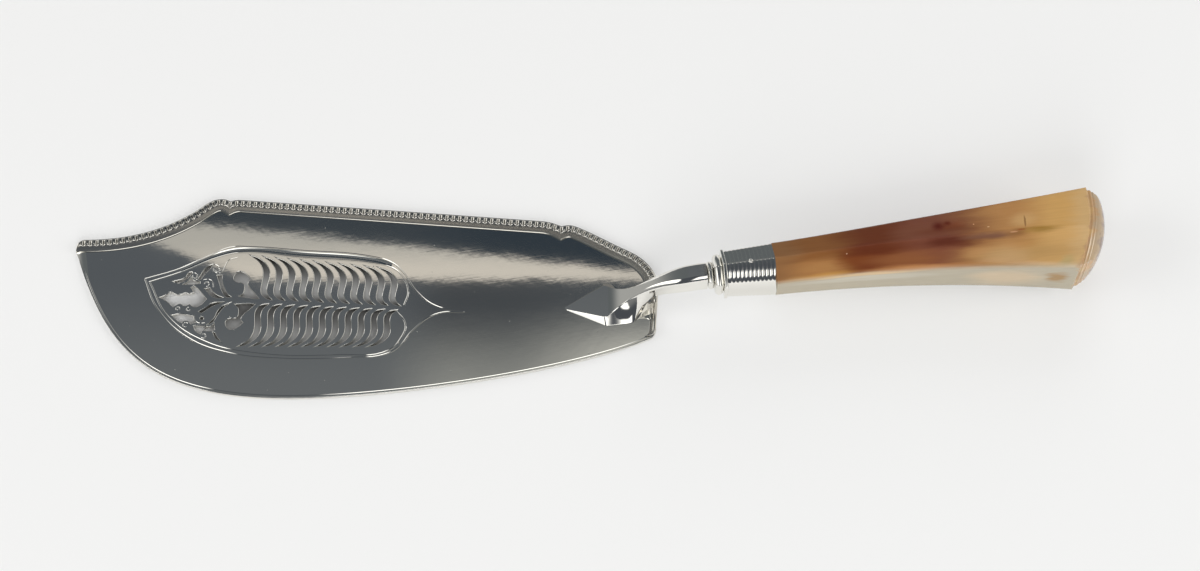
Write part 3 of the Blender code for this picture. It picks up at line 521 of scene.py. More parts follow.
def extrude_sections(name, sections):
    """A solid drawn out through its sections: a filled circle on the first is extruded to each next."""
    count = len(sections[0])
    piece = new_piece(name, bpy.ops.mesh.primitive_circle_add, vertices=count, fill_type="NGON")
    start_edit("SELECT")
    shape = bmesh.from_edit_mesh(piece.data)
    ring = list(shape.verts)
    for vert, place in zip(ring, sections[0]):
        vert.co = place
    bmesh.update_edit_mesh(piece.data)
    for section in sections[1:]:
        shape.verts.index_update()
        last = [vert.index for vert in ring]
        bpy.ops.mesh.extrude_region_move()
        shape = bmesh.from_edit_mesh(piece.data)
        shape.verts.ensure_lookup_table()
        ring = []
        for index, place in zip(last, section):
            vert = shape.verts[index]
            fresh = [edge.other_vert(vert) for edge in vert.link_edges if edge.other_vert(vert).select]
            fresh[0].co = place
            ring.append(fresh[0])
        bmesh.update_edit_mesh(piece.data)
    end_edit()
    return piece


def bevel_edges(piece, chosen, width, segments):
    """Bevels the edges that the test takes."""
    make_active(piece)
    start_edit("DESELECT")
    bpy.ops.mesh.select_mode(type="EDGE")
    shape = bmesh.from_edit_mesh(piece.data)
    for edge in shape.edges:
        edge.select = chosen(edge)
    shape.select_flush_mode()
    bmesh.update_edit_mesh(piece.data)
    bpy.ops.mesh.bevel(offset=width, segments=segments, affect="EDGES", clamp_overlap=True)
    bpy.ops.mesh.select_mode(type="VERT")
    bpy.ops.object.mode_set(mode="OBJECT")


def top_outlines(node):
    """Outlines round the top face of a flat CAD node, the longest first."""
    shape = bmesh.new()
    shape.from_mesh(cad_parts[node].data)
    bmesh.ops.remove_doubles(shape, verts=shape.verts, dist=0.001 * MM)
    shape.normal_update()
    top = max(vert.co.z for vert in shape.verts) - 0.01 * MM
    beside = {}
    for edge in shape.edges:
        tilts = sorted(abs(face.normal.z) for face in edge.link_faces)
        if tilts[0] < 0.5 < tilts[-1] and min(vert.co.z for vert in edge.verts) > top:
            for vert in edge.verts:
                beside.setdefault(vert, []).append(edge.other_vert(vert))
    outlines = []
    while beside:
        start = next(iter(beside))
        outline = [start]
        here = beside.pop(start)[0]
        while here is not start:
            outline.append(here)
            here = next(vert for vert in beside.pop(here) if vert is not outline[-2])
        outlines.append([vert.co.copy() for vert in outline])
    shape.free()
    outlines.sort(key=lambda outline: -sum((b - a).length for a, b in zip(outline, outline[1:])))
    return outlines


def add_curve(name, lines, dimensions, resolution, closed=False):
    """A smooth curve through lines of points; a closed line keeps its corners."""
    piece = new_piece(name, bpy.ops.curve.primitive_bezier_curve_add)
    curve = piece.data
    curve.splines.clear()
    curve.dimensions = dimensions
    curve.resolution_u = resolution
    for line in lines:
        spline = curve.splines.new("BEZIER")
        spline.bezier_points.add(len(line) - 1)
        spline.use_cyclic_u = closed
        for i, knot in enumerate(spline.bezier_points):
            before = line[i] - line[i - 1]
            after = line[(i + 1) % len(line)] - line[i]
            handle = "VECTOR" if closed and before.angle(after) > CORNER_TURN else "AUTO"
            knot.co = line[i]
            knot.handle_left_type = handle
            knot.handle_right_type = handle
    return piece


def curve_to_mesh(piece):
    make_active(piece)
    bpy.ops.object.convert(target="MESH")
    piece = bpy.context.object
    bpy.ops.object.transform_apply(location=True, rotation=True, scale=True)
    start_edit("SELECT")
    bpy.ops.mesh.remove_doubles(threshold=JOIN)
    end_edit()
    return piece


def add_groove(piece, points, cut):
    """Engraves a round-bottomed line through points given in millimetres."""
    radius, depth = cut
    height = BLADE_THICKNESS + radius - depth
    cutter = add_curve("graver", [[Vector((x * MM, y * MM, height)) for x, y in points]], "3D", 8)
    cutter.data.bevel_depth = radius
    cutter.data.bevel_resolution = 16 if cut is WIDE_CUT else 3
    cutter.data.use_fill_caps = True
    carve(piece, curve_to_mesh(cutter))


def carve(piece, cutter):
    """Takes the cutter's shape out of the piece."""
    cut = piece.modifiers.new("cut", "BOOLEAN")
    cut.operation = "DIFFERENCE"
    cut.solver = "EXACT"
    cut.object = cutter
    apply_modifiers(piece)
    bpy.data.objects.remove(cutter)


def level_top(piece):
    """Clears the slivers that the cutting leaves and makes the top face truly flat."""
    make_active(piece)
    start_edit("SELECT")
    bpy.ops.mesh.remove_doubles(threshold=SLIVER)
    bpy.ops.mesh.dissolve_degenerate(threshold=SLIVER)
    bpy.ops.object.mode_set(mode="OBJECT")
    for vert in piece.data.vertices:
        if abs(vert.co.z - BLADE_THICKNESS) < SLIVER:
            vert.co.z = BLADE_THICKNESS


def bevel_tip(piece):
    """Rounds the front of the tip over in flat strips that grow steeper outward."""
    start, end = TIP_BEVEL
    along = (end - start).normalized()
    outward = Vector((along.y, -along.x, 0.0))
    reach = (end - start).length + 4.0 * MM
    width, height = TIP_CUTTER
    point = start.copy()
    for tilt in TIP_BEVEL_TILTS:
        down = outward * math.cos(tilt) - Vector((0.0, 0.0, math.sin(tilt)))
        above = along.cross(down) if along.cross(down).z > 0.0 else down.cross(along)
        cutter = new_piece("tip cutter", bpy.ops.mesh.primitive_cube_add, size=1.0)
        middle = point + along * (reach / 2.0 - 0.3 * MM) + above * (height / 2.0)
        axes = Matrix((along * reach, down * width, above * height)).transposed().to_4x4()
        cutter.matrix_world = Matrix.Translation(middle) @ axes
        carve(piece, cutter)
        point += down * (TIP_BEVEL_STRIP / math.cos(tilt))


def thread_points(outline):
    """Points of the thread that follows the lower edge, in millimetres."""
    route = Route(smooth_points(rim_runs(outline)[1], 3))
    count = int((route.length - 2.0 * THREAD_END) / THREAD_STEP)
    marks = [THREAD_END + i * THREAD_STEP for i in range(count + 1)]
    return [(route.at(mark) + route.inward(mark) * THREAD_INSET) / MM for mark in marks]


def curl_points(x, y, radius, eighth):
    """Points of a small curl that winds inward, starting at so many eighths of a turn."""
    points = []
    for i in range(7):
        turn = (eighth + i) * math.pi / 4.0
        reach = radius * (1.0 - 0.06 * i)
        points.append((x + reach * math.cos(turn), y + reach * math.sin(turn)))
    return points


def narrowed(outline):
    """A slot drawn in towards its own middle line; its two ends stay."""
    count = len(outline)
    ends = [(i, j) for i in range(count) for j in range(i)]
    first, second = max(ends, key=lambda pair: (outline[pair[0]] - outline[pair[1]]).length)
    turned = outline[first:] + outline[:first]
    split = (second - first) % count
    sides = [turned[:split + 1], [turned[0]] + turned[:split - 1:-1]]
    result = []
    for side, other in (sides, sides[::-1]):
        here, across = Route(side), Route(other)
        drawn = []
        for mark, point in zip(here.marks, side):
            middle = (point + across.at(mark / here.length * across.length)) / 2.0
            drawn.append(middle.lerp(point, SLOT_OPEN))
        result.append(drawn)
    return result[0] + result[1][-2:0:-1]


def add_blade(outlines, material):
    """Pierced plate with rounded edges, a double engraved frame round the piercing and engraved scrolls."""
    shapes = [outlines[0]]
    for outline in outlines[1:]:
        slot = max(point.x for point in outline) > SLOT_START
        shapes.append(narrowed(outline) if slot else outline)
    flat = [[Vector((point.x, point.y, 0.0)) for point in shape] for shape in shapes]
    piece = add_curve("pierced_blade", flat, "2D", 6, closed=True)
    half = BLADE_THICKNESS / 2.0
    piece.data.fill_mode = "BOTH"
    piece.data.extrude = half - EDGE_ROUND
    piece.data.bevel_depth = EDGE_ROUND
    piece.data.bevel_resolution = 3
    piece.data.offset = -EDGE_ROUND
    piece.location.z = half
    piece = curve_to_mesh(piece)
    add_groove(piece, ENGRAVED_CHANNEL, WIDE_CUT)
    for line in ENGRAVED_LINES:
        add_groove(piece, line, THIN_CUT)
    for line in (*ENGRAVED_STALKS, *[curl_points(*curl) for curl in ENGRAVED_CURLS]):
        add_groove(piece, line, FINE_CUT)
    add_groove(piece, thread_points(outlines[0]), THIN_CUT)
    bevel_tip(piece)
    level_top(piece)
    smooth(piece, 25.0)
    for face in piece.data.polygons:
        if face.normal.z > 0.9999:
            face.use_smooth = False
    finish_piece(piece, "blade", material)


def rim_runs(outline):
    """The rim from the tip over the back to the heel's lower corner, and from there back to the tip."""
    area = sum(a.x * b.y - b.x * a.y for a, b in zip(outline, outline[1:] + outline[:1]))
    ordered = outline[::-1] if area > 0.0 else list(outline)
    start = min(range(len(ordered)), key=lambda i: ordered[i].x)
    ordered = [point.xy for point in ordered[start:] + ordered[:start + 1]]
    reach = max(point.x for point in ordered) - 0.01 * MM
    end = max(i for i, point in enumerate(ordered) if point.x > reach)
    return ordered[:end + 1], ordered[end:]


class Route:
    """A chain of points, read by distance from its start."""

    def __init__(self, points):
        self.points = points
        self.marks = [0.0]
        for a, b in zip(points, points[1:]):
            self.marks.append(self.marks[-1] + (b - a).length)
        self.length = self.marks[-1]

    def at(self, distance):
        last = len(self.marks) - 2
        i = 0
        while i < last and self.marks[i + 1] < distance:
            i += 1
        share = (distance - self.marks[i]) / (self.marks[i + 1] - self.marks[i])
        return self.points[i].lerp(self.points[i + 1], share)

    def inward(self, distance):
        span = BORDER_WIDTH / 2.0
        low = max(distance - span, 0.0)
        high = min(distance + span, self.length)
        along = self.at(high) - self.at(low)
        return Vector((along.y, -along.x)).normalized()


def smooth_points(points, steps):
    """Points added between the given ones, on a curve that passes through all of them."""
    slopes = []
    for i, point in enumerate(points):
        before = points[max(i - 1, 0)]
        after = points[min(i + 1, len(points) - 1)]
        slopes.append((after - before) / ((after - point).length + (point - before).length))
    result = []
    for i in range(len(points) - 1):
        reach = (points[i + 1] - points[i]).length
        for step in range(steps):
            t = step / steps
            leave = slopes[i] * (reach * t * (1.0 - t) ** 2)
            arrive = slopes[i + 1] * (reach * t * t * (1.0 - t))
            result.append(points[i].lerp(points[i + 1], t * t * (3.0 - 2.0 * t)) + leave - arrive)
    return result + [points[-1]]


def bead(value, middle, half):
    """Height of a round bead, from 0 at its edges to 1 at its middle."""
    return math.sqrt(max(0.0, 1.0 - ((value - middle) / half) ** 2))


def gadroon_height(share, depth):
    """Height of the border above the blade: share runs over one lobe, depth is millimetres from the rim."""
    if depth > LOBE_LENGTH:
        return band_height(depth) * MM
    slope_end, first, rise = RIM_SLOPE
    if depth < slope_end:
        return (first + rise * depth) * MM
    outer, inner = LOBE_FULL
    ends = bead(min(depth, outer), outer, outer - slope_end)
    ends *= bead(max(depth, inner), inner, LOBE_LENGTH - inner)
    floor, stand = LOBE_HEIGHTS
    return (floor + stand * bead(share, 0.0, 0.5) * ends) * MM


def band_height(depth):
    """A band inside the lobes that leans a little to the middle of the blade, bevelled at its edge."""
    past = depth - LOBE_LENGTH
    edge, slope = BAND_BEVEL
    lean = BAND_LEAN[0] * past + BAND_LEAN[1] * past * past
    return BAND_HEIGHT - lean - slope * max(0.0, depth - edge)


def plain_height(depth):
    """Height of the border where it runs on without lobes."""
    if depth > LOBE_LENGTH:
        return band_height(depth) * MM
    return (BAND_HEIGHT + PLAIN_RISE * bead(depth, LOBE_LENGTH / 2.0, LOBE_LENGTH / 2.0)) * MM


def add_border(name, node, points, notches, rounded, material, heel=False):
    """A gadrooned strip: one lobe is shaped on a grid, repeated in a row and bent along the rim."""
    route = Route(smooth_points(points, 4))
    lobes = round(route.length / LOBE_PITCH)
    pitch = route.length / lobes
    piece = new_piece(name, bpy.ops.mesh.primitive_grid_add, x_subdivisions=14, y_subdivisions=34, size=1.0)
    for vert in piece.data.vertices:
        share = vert.co.x
        depth = (0.5 - vert.co.y) * BORDER_WIDTH
        vert.co = ((share + 0.5) * pitch, -depth, gadroon_height(share, depth / MM))
    row = piece.modifiers.new("row", "ARRAY")
    row.count = lobes
    row.use_relative_offset = False
    row.use_constant_offset = True
    row.constant_offset_displace = (pitch, 0.0, 0.0)
    row.use_merge_vertices = True
    row.merge_threshold = 0.005 * MM
    apply_modifiers(piece)
    if heel:
        for vert in piece.data.vertices:
            height = route.at(min(max(vert.co.x, 0.0), route.length)).y
            plain = 1.0 - ease(height, HEEL_PLAIN - HEEL_FADE, HEEL_PLAIN + HEEL_FADE)
            vert.co.z += (plain_height(-vert.co.y / MM) - vert.co.z) * plain
            vert.co.y *= 1.0 + (HEEL_SQUEEZE - 1.0) * plain
    start_edit("DESELECT")
    bpy.ops.mesh.select_non_manifold(extend=False, use_boundary=True)
    bpy.ops.mesh.extrude_edges_move()
    shape = bmesh.from_edit_mesh(piece.data)
    for vert in shape.verts:
        if vert.select:
            vert.co.z = -EDGE_ROUND
    bmesh.update_edit_mesh(piece.data)
    bpy.ops.mesh.edge_face_add()
    end_edit()
    for vert in piece.data.vertices:
        vert.co = bent_place(route, vert.co, notches, rounded)
    smooth(piece, 50.0)
    finish_piece(piece, node, material)


def bent_place(route, spot, notches, rounded):
    """Where a point of the straight strip comes to lie on the rim."""
    distance = min(max(spot.x, 0.0), route.length)
    depth = -spot.y
    inward = route.inward(distance)
    for end, gap in enumerate((distance, route.length - distance)):
        if notches[end]:
            pull = math.exp(-(gap / NOTCH_HALF) ** 2)
            inward = inward.lerp(Vector((0.0, -1.0)), pull).normalized()
            depth += CUSP_DEPTH * pull ** 3 * (depth / BORDER_WIDTH) ** 2
        if rounded[end] and gap < TIP_CORNER:
            start = TIP_CORNER - math.sqrt(TIP_CORNER ** 2 - (TIP_CORNER - gap) ** 2)
            depth = start + depth * (BORDER_WIDTH - start) / BORDER_WIDTH
    place = route.at(distance) + inward * depth
    return Vector((place.x, place.y, BLADE_THICKNESS + spot.z))


def add_borders(outline, material):
    rim = rim_runs(outline)[0]
    tip_box, back_box, heel_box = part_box("border_tip"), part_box("border_back"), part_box("border_heel")
    front_notch = (tip_box[1].x + back_box[0].x) / 2.0
    rear_notch = (back_box[1].x + heel_box[0].x) / 2.0
    cuts = [min(range(len(rim)), key=lambda i: abs(rim[i].x - x) - 0.001 * rim[i].y)
            for x in (front_notch, rear_notch)]
    corner = next(i for i, point in enumerate(rim) if point.x > rim[0].x + 0.95 * TIP_CORNER)
    tip = [Vector((tip_box[0].x, rim[corner].y))] + rim[corner:cuts[0] + 1]
    heel = rim[cuts[1]:] + [rim[-1] - Vector((0.0, HEEL_TAIL))]
    back = rim[cuts[0]:cuts[1] + 1]
    add_border("gadroon_border_tip", "border_tip", tip, (False, True), (True, False), material)
    add_border("gadroon_border_back", "border_back", back, (True, True), (False, False), material)
    add_border("gadroon_border_heel", "border_heel", heel, (True, False), (False, True), material, heel=True)


def bezier(curve, t):
    start, out, back, end = curve
    u = 1.0 - t
    return start * u ** 3 + out * (3.0 * u * u * t) + back * (3.0 * u * t * t) + end * t ** 3


def height_on(curve, run):
    """Height of a side-view curve at a distance along it, found by halving."""
    low, high = 0.0, 1.0
    for _ in range(30):
        middle = (low + high) / 2.0
        if bezier(curve, middle).x < run:
            low = middle
        else:
            high = middle
    return bezier(curve, low).y


def ease(share, start, end):
    share = min(max((share - start) / (end - start), 0.0), 1.0)
    return share * share * (3.0 - 2.0 * share)


def stem_ring(run, far, near, backs=(0.0, 0.0)):
    """Corners at one station, given as half width and height: flat to base on the far side, and back."""
    along = Vector((math.cos(CANT), math.sin(CANT), 0.0))
    across = Vector((-math.sin(CANT), math.cos(CANT), 0.0))
    middle = Vector((0.0, PALM_OFFSET, 0.0)) + along * run
    left = [middle - along * backs[0] + across * half + Vector((0.0, 0.0, height)) for half, height in far]
    right = [middle - along * backs[1] - across * half + Vector((0.0, 0.0, height)) for half, height in near]
    return left + right[::-1]


def bowed(start, end, bow):
    """Points between two corners of a section; bow rounds the line outward."""
    points = []
    for step in BOW_STEPS:
        out = step + (step - 1.0 + math.cos(step * math.pi / 2.0)) * bow
        fall = step + (step - math.sin(step * math.pi / 2.0)) * bow
        points.append((start[0] + (end[0] - start[0]) * out, start[1] + (end[1] - start[1]) * fall))
    return points


def stem_side(edge, flank, foot, base, rounded=0.0, bulge=0.0):
    """One side of a section, as half widths and heights: a rounded chamfer, a flank and the base."""
    return [edge] + bowed(edge, flank, rounded) + [flank] + bowed(flank, foot, bulge) + [foot, base]


def side_curve(start, end, pulls):
    """A side-view curve between two points, with handles at shares of the way."""
    way = end - start
    return start, *[start + Vector((way.x * run, way.y * rise)) for run, rise in pulls], end


def stem_sections():
    palm = PALM_WIDTH / 2.0
    waist = STEM_FLAT / 2.0
    point = 0.3 * MM
    edge = 0.15 * MM
    seat = BLADE_THICKNESS - EDGE_ROUND
    low_edge = seat + 2.0 * edge
    tip_height = seat + 5.0 * edge
    top_start = BLADE_THICKNESS + PALM_HEIGHT
    half = STEM_END_DEPTH / 2.0
    top = side_curve(Vector((0.0, top_start)), Vector((STEM_RUN, AXIS_HEIGHT + half)), TOP_PULLS)
    under = side_curve(Vector((FOOT_RUN, seat)), Vector((STEM_RUN, AXIS_HEIGHT - half)), UNDER_PULLS)
    slope = (top_start - tip_height) / PALM_LENGTH
    crowns = [palm - bevel for bevel in PALM_BEVELS]
    tip = stem_side((0.8 * point, tip_height), (point, tip_height - 0.2 * point), (point, low_edge),
                    (point, seat))
    shoulders = []
    for crown, back in zip(crowns, PALM_BACKS):
        height = top_start - back * slope
        shoulders.append(stem_side((crown, height), (crown + edge, height - edge), (palm, low_edge),
                                   (palm, seat)))
    first = stem_ring(-PALM_LENGTH, tip, tip)
    second = stem_ring(0.0, *shoulders, PALM_BACKS)
    # Rings close to the palm's ends keep its facets flat in the light
    sections = [first]
    for share in (0.04, 0.97):
        sections.append([start.lerp(end, share) for start, end in zip(first, second)])
    sections.append(second)
    for i in range(1, STEM_STATIONS + 1):
        share = i / STEM_STATIONS
        run = share * STEM_RUN
        under_height = seat if run <= FOOT_RUN else height_on(under, run)
        grown = ease(share, *BASE_GROWS)
        lower = under_height + 2.0 * edge + (STEM_CHAMFER - 2.0 * edge) * grown
        chamfer = edge + (STEM_CHAMFER - edge) * ease(share, *CHAMFER_GROWS)
        rounded = ROUNDING * ease(share, *ROUNDING_GROWS)
        # The far flank turns upright at once; the near one spreads to the palm's full width over the foot
        sides = []
        slips = []
        for crown, back, turn, bulge in zip(crowns, PALM_BACKS, FLANK_TURNS, FLANK_BULGES):
            slip = back * (1.0 - ease(share, *SLIP_ENDS))
            place = run - slip
            high = height_on(top, place) if place > 0.0 else top_start + place * slope
            flat = waist + (crown - waist) * math.exp(-((place + back) / PALM_FALL) ** PALM_FALL_POWER)
            flat += (STEM_END_FLAT - STEM_FLAT) / 2.0 * ease(share, *END_WIDENS)
            flank = flat + chamfer
            low = palm + (flank - palm) * ease(share, *turn)
            sides.append(stem_side((flat, high), (flank, high - chamfer), (low, lower),
                                   (low - STEM_CHAMFER * grown, under_height), rounded,
                                   bulge * ease(share, *BULGE_GROWS)))
            slips.append(slip)
        sections.append(stem_ring(run, *sides, slips))
    return sections


def add_stem(material):
    piece = extrude_sections("cranked_stem", stem_sections())
    worn = piece.modifiers.new("worn edges", "BEVEL")
    worn.width = STEM_WORN
    worn.segments = 2
    worn.limit_method = "ANGLE"
    worn.angle_limit = math.radians(28.0)
    apply_modifiers(piece)
    smooth(piece, 25.0)
    hold_facets(piece)
    finish_piece(piece, "stem", material)


def handle_axis():
    """Local Z runs along the handle from the stem's end, local X points up, local Y to the near side."""
    start = Vector((STEM_RUN * math.cos(CANT), PALM_OFFSET + STEM_RUN * math.sin(CANT), AXIS_HEIGHT))
    along = Vector((math.cos(DROOP) * math.cos(CANT), math.cos(DROOP) * math.sin(CANT), -math.sin(DROOP)))
    across = Vector((math.sin(CANT), -math.cos(CANT), 0.0))
    up = across.cross(along)
    return Matrix.Translation(start) @ Matrix((up, across, along)).transposed().to_4x4()


def put_on_axis(piece, along):
    """Moves a piece that was made upright at the origin to its place on the handle's axis."""
    make_active(piece)
    piece.matrix_world = handle_axis() @ Matrix.Translation((0.0, 0.0, along)) @ piece.matrix_world
    bpy.ops.object.transform_apply(location=True, rotation=True, scale=True)


def on_hex_corner(edge):
    """Whether an edge lies along a corner of an upright six-sided shape."""
    sixths = [math.atan2(vert.co.y, vert.co.x) / (math.pi / 3.0) for vert in edge.verts]
    return abs(sixths[0] - sixths[1]) < 0.01 and all(abs(sixth - round(sixth)) < 0.01 for sixth in sixths)


def finish_fitting(piece, along, node, material):
    """Puts a small fitting in its place on the axis, in its finish."""
    put_on_axis(piece, along)
    smooth(piece, 35.0)
    finish_piece(piece, node, material)


def add_collar_ring(name, node, span, flats, material):
    """A six-sided bead with a round section."""
    half = (span[1] - span[0]) / 2.0
    piece = new_piece(name, bpy.ops.mesh.primitive_torus_add, major_segments=6, minor_segments=20,
                      major_radius=flats / 2.0 * HEX_CORNER - half, minor_radius=half)
    bevel_edges(piece, on_hex_corner, RING_ROUND, 3)
    finish_fitting(piece, (span[0] + span[1]) / 2.0, node, material)


def add_plate(material):
    """Six-sided end plate of the ferrule, with its rim eased."""
    corner = (FERRULE_FRONT_FLATS / 2.0 + PLATE_LIP) * HEX_CORNER
    piece = new_piece("ferrule_end_plate", bpy.ops.mesh.primitive_cylinder_add, vertices=6, radius=corner,
                      depth=PLATE[1] - PLATE[0])
    # A cylinder starts with a corner on +Y; the handle's ridge is on +X
    piece.data.transform(Matrix.Rotation(-math.pi / 2.0, 4, "Z"))
    bevel_edges(piece, lambda edge: True, PLATE_ROUND, 3)
    finish_fitting(piece, (PLATE[0] + PLATE[1]) / 2.0, "ferrule_plate", material)


def ferrule_flat(share):
    return (FERRULE_FRONT_FLATS + (FERRULE_REAR_FLATS - FERRULE_FRONT_FLATS) * share) / 2.0


def add_ferrule(material):
    """Reeded tube: the reeds' profile is spun round the axis in six steps."""
    length = FERRULE[1] - FERRULE[0]
    steps = 8
    profile = []
    for i in range(REED_COUNT * steps + 1):
        share = i / (REED_COUNT * steps)
        groove = (2.0 * (i % steps) / steps - 1.0) ** 2
        profile.append(((ferrule_flat(share) - REED_DEPTH * groove) * HEX_CORNER, share * length))
    profile.append((profile[-1][0] - FERRULE_LIP, length))
    profile.insert(0, (profile[0][0] - FERRULE_LIP, 0.0))
    piece = new_piece("reeded_ferrule", bpy.ops.mesh.primitive_plane_add, size=MM)
    start_edit("SELECT")
    bpy.ops.mesh.merge(type="CENTER")
    shape = bmesh.from_edit_mesh(piece.data)
    shape.verts.ensure_lookup_table()
    shape.verts[0].co = (profile[0][0], 0.0, profile[0][1])
    bmesh.update_edit_mesh(piece.data)
    for (radius, height), (next_radius, next_height) in zip(profile, profile[1:]):
        bpy.ops.mesh.extrude_region_move(
            TRANSFORM_OT_translate={"value": (next_radius - radius, 0.0, next_height - height)})
    bpy.ops.mesh.select_all(action="SELECT")
    bpy.ops.mesh.spin(steps=6, angle=math.tau, center=(0.0, 0.0, 0.0), axis=(0.0, 0.0, 1.0))
    bpy.ops.mesh.select_all(action="SELECT")
    bpy.ops.mesh.remove_doubles(threshold=JOIN)
    end_edit()

    def on_part(test):
        return lambda edge: on_hex_corner(edge) and test(edge.verts[0].co)

    round_corner, side_corner, ridge = FERRULE_WEAR
    bevel_edges(piece, on_part(lambda place: place.y > MM and place.x > 0.0), round_corner, 13)
    bevel_edges(piece, on_part(lambda place: place.y < -MM or place.y > MM and place.x < 0.0), side_corner, 7)
    bevel_edges(piece, on_part(lambda place: abs(place.y) < MM), ridge, 4)
    put_on_axis(piece, FERRULE[0])
    smooth(piece, 35.0)
    hold_facets(piece)
    finish_piece(piece, "ferrule", material)


def add_pin(material):
    """Domed head of the pin on the ferrule's ridge, with a short shank below it."""
    piece = new_piece("ferrule_rivet", bpy.ops.mesh.primitive_uv_sphere_add, segments=24, ring_count=16,
                      radius=PIN_DIAMETER / 2.0)
    start_edit("SELECT")
    bpy.ops.mesh.bisect(plane_co=(0.0, 0.0, 0.0), plane_no=(0.0, 0.0, 1.0), clear_inner=True)
    bpy.ops.transform.resize(value=(1.0, 1.0, PIN_DOME))
    bpy.ops.mesh.select_all(action="DESELECT")
    bpy.ops.mesh.select_non_manifold(extend=False)
    bpy.ops.mesh.extrude_edges_move(TRANSFORM_OT_translate={"value": (0.0, 0.0, -PIN_SHANK)})
    bpy.ops.mesh.edge_face_add()
    end_edit()
    ridge = ferrule_flat(0.5) * HEX_CORNER - PIN_SUNK
    piece.matrix_world = Matrix.Translation((ridge, 0.0, 0.0)) @ Matrix.Rotation(math.pi / 2.0, 4, "Y")
    finish_fitting(piece, (FERRULE[0] + FERRULE[1]) / 2.0, "ferrule_pin", material)


SIDE_POINTS = 6  # points along each side of the handle's section


def hexagon(half_width, flank, roof):
    """Points round a six-sided section, as (up, across), starting on the top ridge."""
    corners = [(flank + roof, 0.0), (flank, half_width), (-flank, half_width),
               (-flank - roof, 0.0), (-flank, -half_width), (flank, -half_width)]
    points = []
    for i, corner in enumerate(corners):
        start = Vector(corner)
        end = Vector(corners[(i + 1) % 6])
        points += [start.lerp(end, part / SIDE_POINTS) for part in range(SIDE_POINTS)]
    return points


def handle_section(share):
    """Half width, half flank and ridge rise of the handle, from the ferrule to the butt."""
    front = FERRULE_REAR_FLATS / 2.0
    wide = front + (HANDLE_BUTT_WIDTH / 2.0 - front) * share ** WIDTH_POWER
    flank = front * HEX_SIDE
    flank += (HANDLE_BUTT_SIDE / 2.0 - flank) * (SIDE_SHARES[0] * share + SIDE_SHARES[1] * share ** 4)
    roof = HANDLE_BUTT_ROOF + (front * HEX_SIDE - HANDLE_BUTT_ROOF) * (1.0 - share ** ROOF_POWER)
    return wide, flank, roof


def side_bow(share):
    """How far to the far side the handle's middle lies."""
    return HANDLE_BOW * math.sin(math.pi * min(max(share, 0.0), 1.0))


def end_shape(across, wide, share):
    """How far along the axis the skewed and rounded end of the handle carries a point."""
    return (BUTT_BULGE * (1.0 - (across / wide) ** 2) - across * math.tan(BUTT_SKEW)) * share ** 2


def handle_ring(share, along, scale=1.0, roundness=0.0):
    """One ring of the handle; roundness draws the section towards an oval."""
    wide, flank, roof = handle_section(share)
    axis = handle_axis()
    ring = []
    for point in hexagon(wide, flank, roof):
        turn = math.atan2(point.y / wide, point.x / (flank + roof))
        oval = Vector(((flank + roof) * math.cos(turn), wide * math.sin(turn)))
        spot = point.lerp(oval, roundness) * scale
        place = Vector((spot.x, spot.y - side_bow(share), along + end_shape(spot.y, wide, share)))
        ring.append(axis @ place)
    return ring


# Two small beads between the body and the dome: share of the butt's width, and millimetres past its edge
BUTT_STEPS = ((0.992, 0.10), (0.972, 0.22), (0.948, 0.34), (0.940, 0.56), (0.946, 0.80), (0.955, 1.00),
              (0.958, 1.20), (0.955, 1.40), (0.944, 1.60), (0.933, 1.74), (0.934, 1.90), (0.941, 2.05),
              (0.942, 2.20), (0.937, 2.36), (0.926, 2.50), (0.918, 2.60))
BODY_STEPS = 40


def handle_sections():
    length = HANDLE_END - HANDLE_START
    sections = []
    for i in range(BODY_STEPS + 1):
        share = i / BODY_STEPS
        sections.append(handle_ring(share, HANDLE_START + share * length))
    for scale, past in BUTT_STEPS:
        sections.append(handle_ring(1.0, HANDLE_END + past * MM, scale, 0.12 * past))
    start_scale, start_past = BUTT_STEPS[-1]
    for i in range(1, DOME_STEPS + 1):
        share = i / DOME_STEPS
        turn = DOME_TURN * share
        along = HANDLE_END + start_past * MM + DOME_HEIGHT * math.sin(turn)
        sections.append(handle_ring(1.0, along, start_scale * math.cos(turn), 0.3 + 0.7 * share))
    return sections


def map_horn(piece):
    """Lays the map for the horn's colours: share of the length, and place round the section."""
    to_axis = handle_axis().inverted()
    length = HANDLE_END - HANDLE_START
    layer = piece.data.uv_layers.new(name=HORN_MAP)
    for corner, spot in zip(piece.data.loops, layer.data):
        up, across, along = to_axis @ piece.data.vertices[corner.vertex_index].co
        body = min(max((along - HANDLE_START) / length, 0.0), 1.0)
        for _ in range(3):
            wide, flank, _ = handle_section(body)
            aside = across + side_bow(body)
            share = (along - end_shape(aside, wide, body) - HANDLE_START) / length
            body = min(max(share, 0.0), 1.0)
        side = min(abs(aside) / wide, 1.0)
        around = side
        if side > 0.97:
            around = 1.5 - 0.5 * up / flank
        elif up < 0.0 and share < 1.0:
            around = 3.0 - side
        spot.uv = (share, math.copysign(around, aside))


def add_handle(material):
    sections = handle_sections()
    piece = extrude_sections("horn_handle", sections)

    def grid_place(place):
        return tuple(round(value / (0.001 * MM)) for value in place)

    def on_edges(sides):
        """Test for the long edges on the given corners of the body."""
        rings = sections[:BODY_STEPS + 1]
        corners = {grid_place(ring[side * SIDE_POINTS]) for ring in rings for side in sides}

        def test(edge):
            short = (edge.verts[0].co - edge.verts[1].co).length < 3.5 * MM
            return short and all(grid_place(vert.co) in corners for vert in edge.verts)

        return test

    bevel_edges(piece, on_edges((0, 3)), HANDLE_RIDGE_ROUND, 2)
    bevel_edges(piece, on_edges((1, 2, 4, 5)), HANDLE_EDGE_ROUND, 3)
    map_horn(piece)
    smooth(piece, 28.0)
    finish_piece(piece, "handle", material)


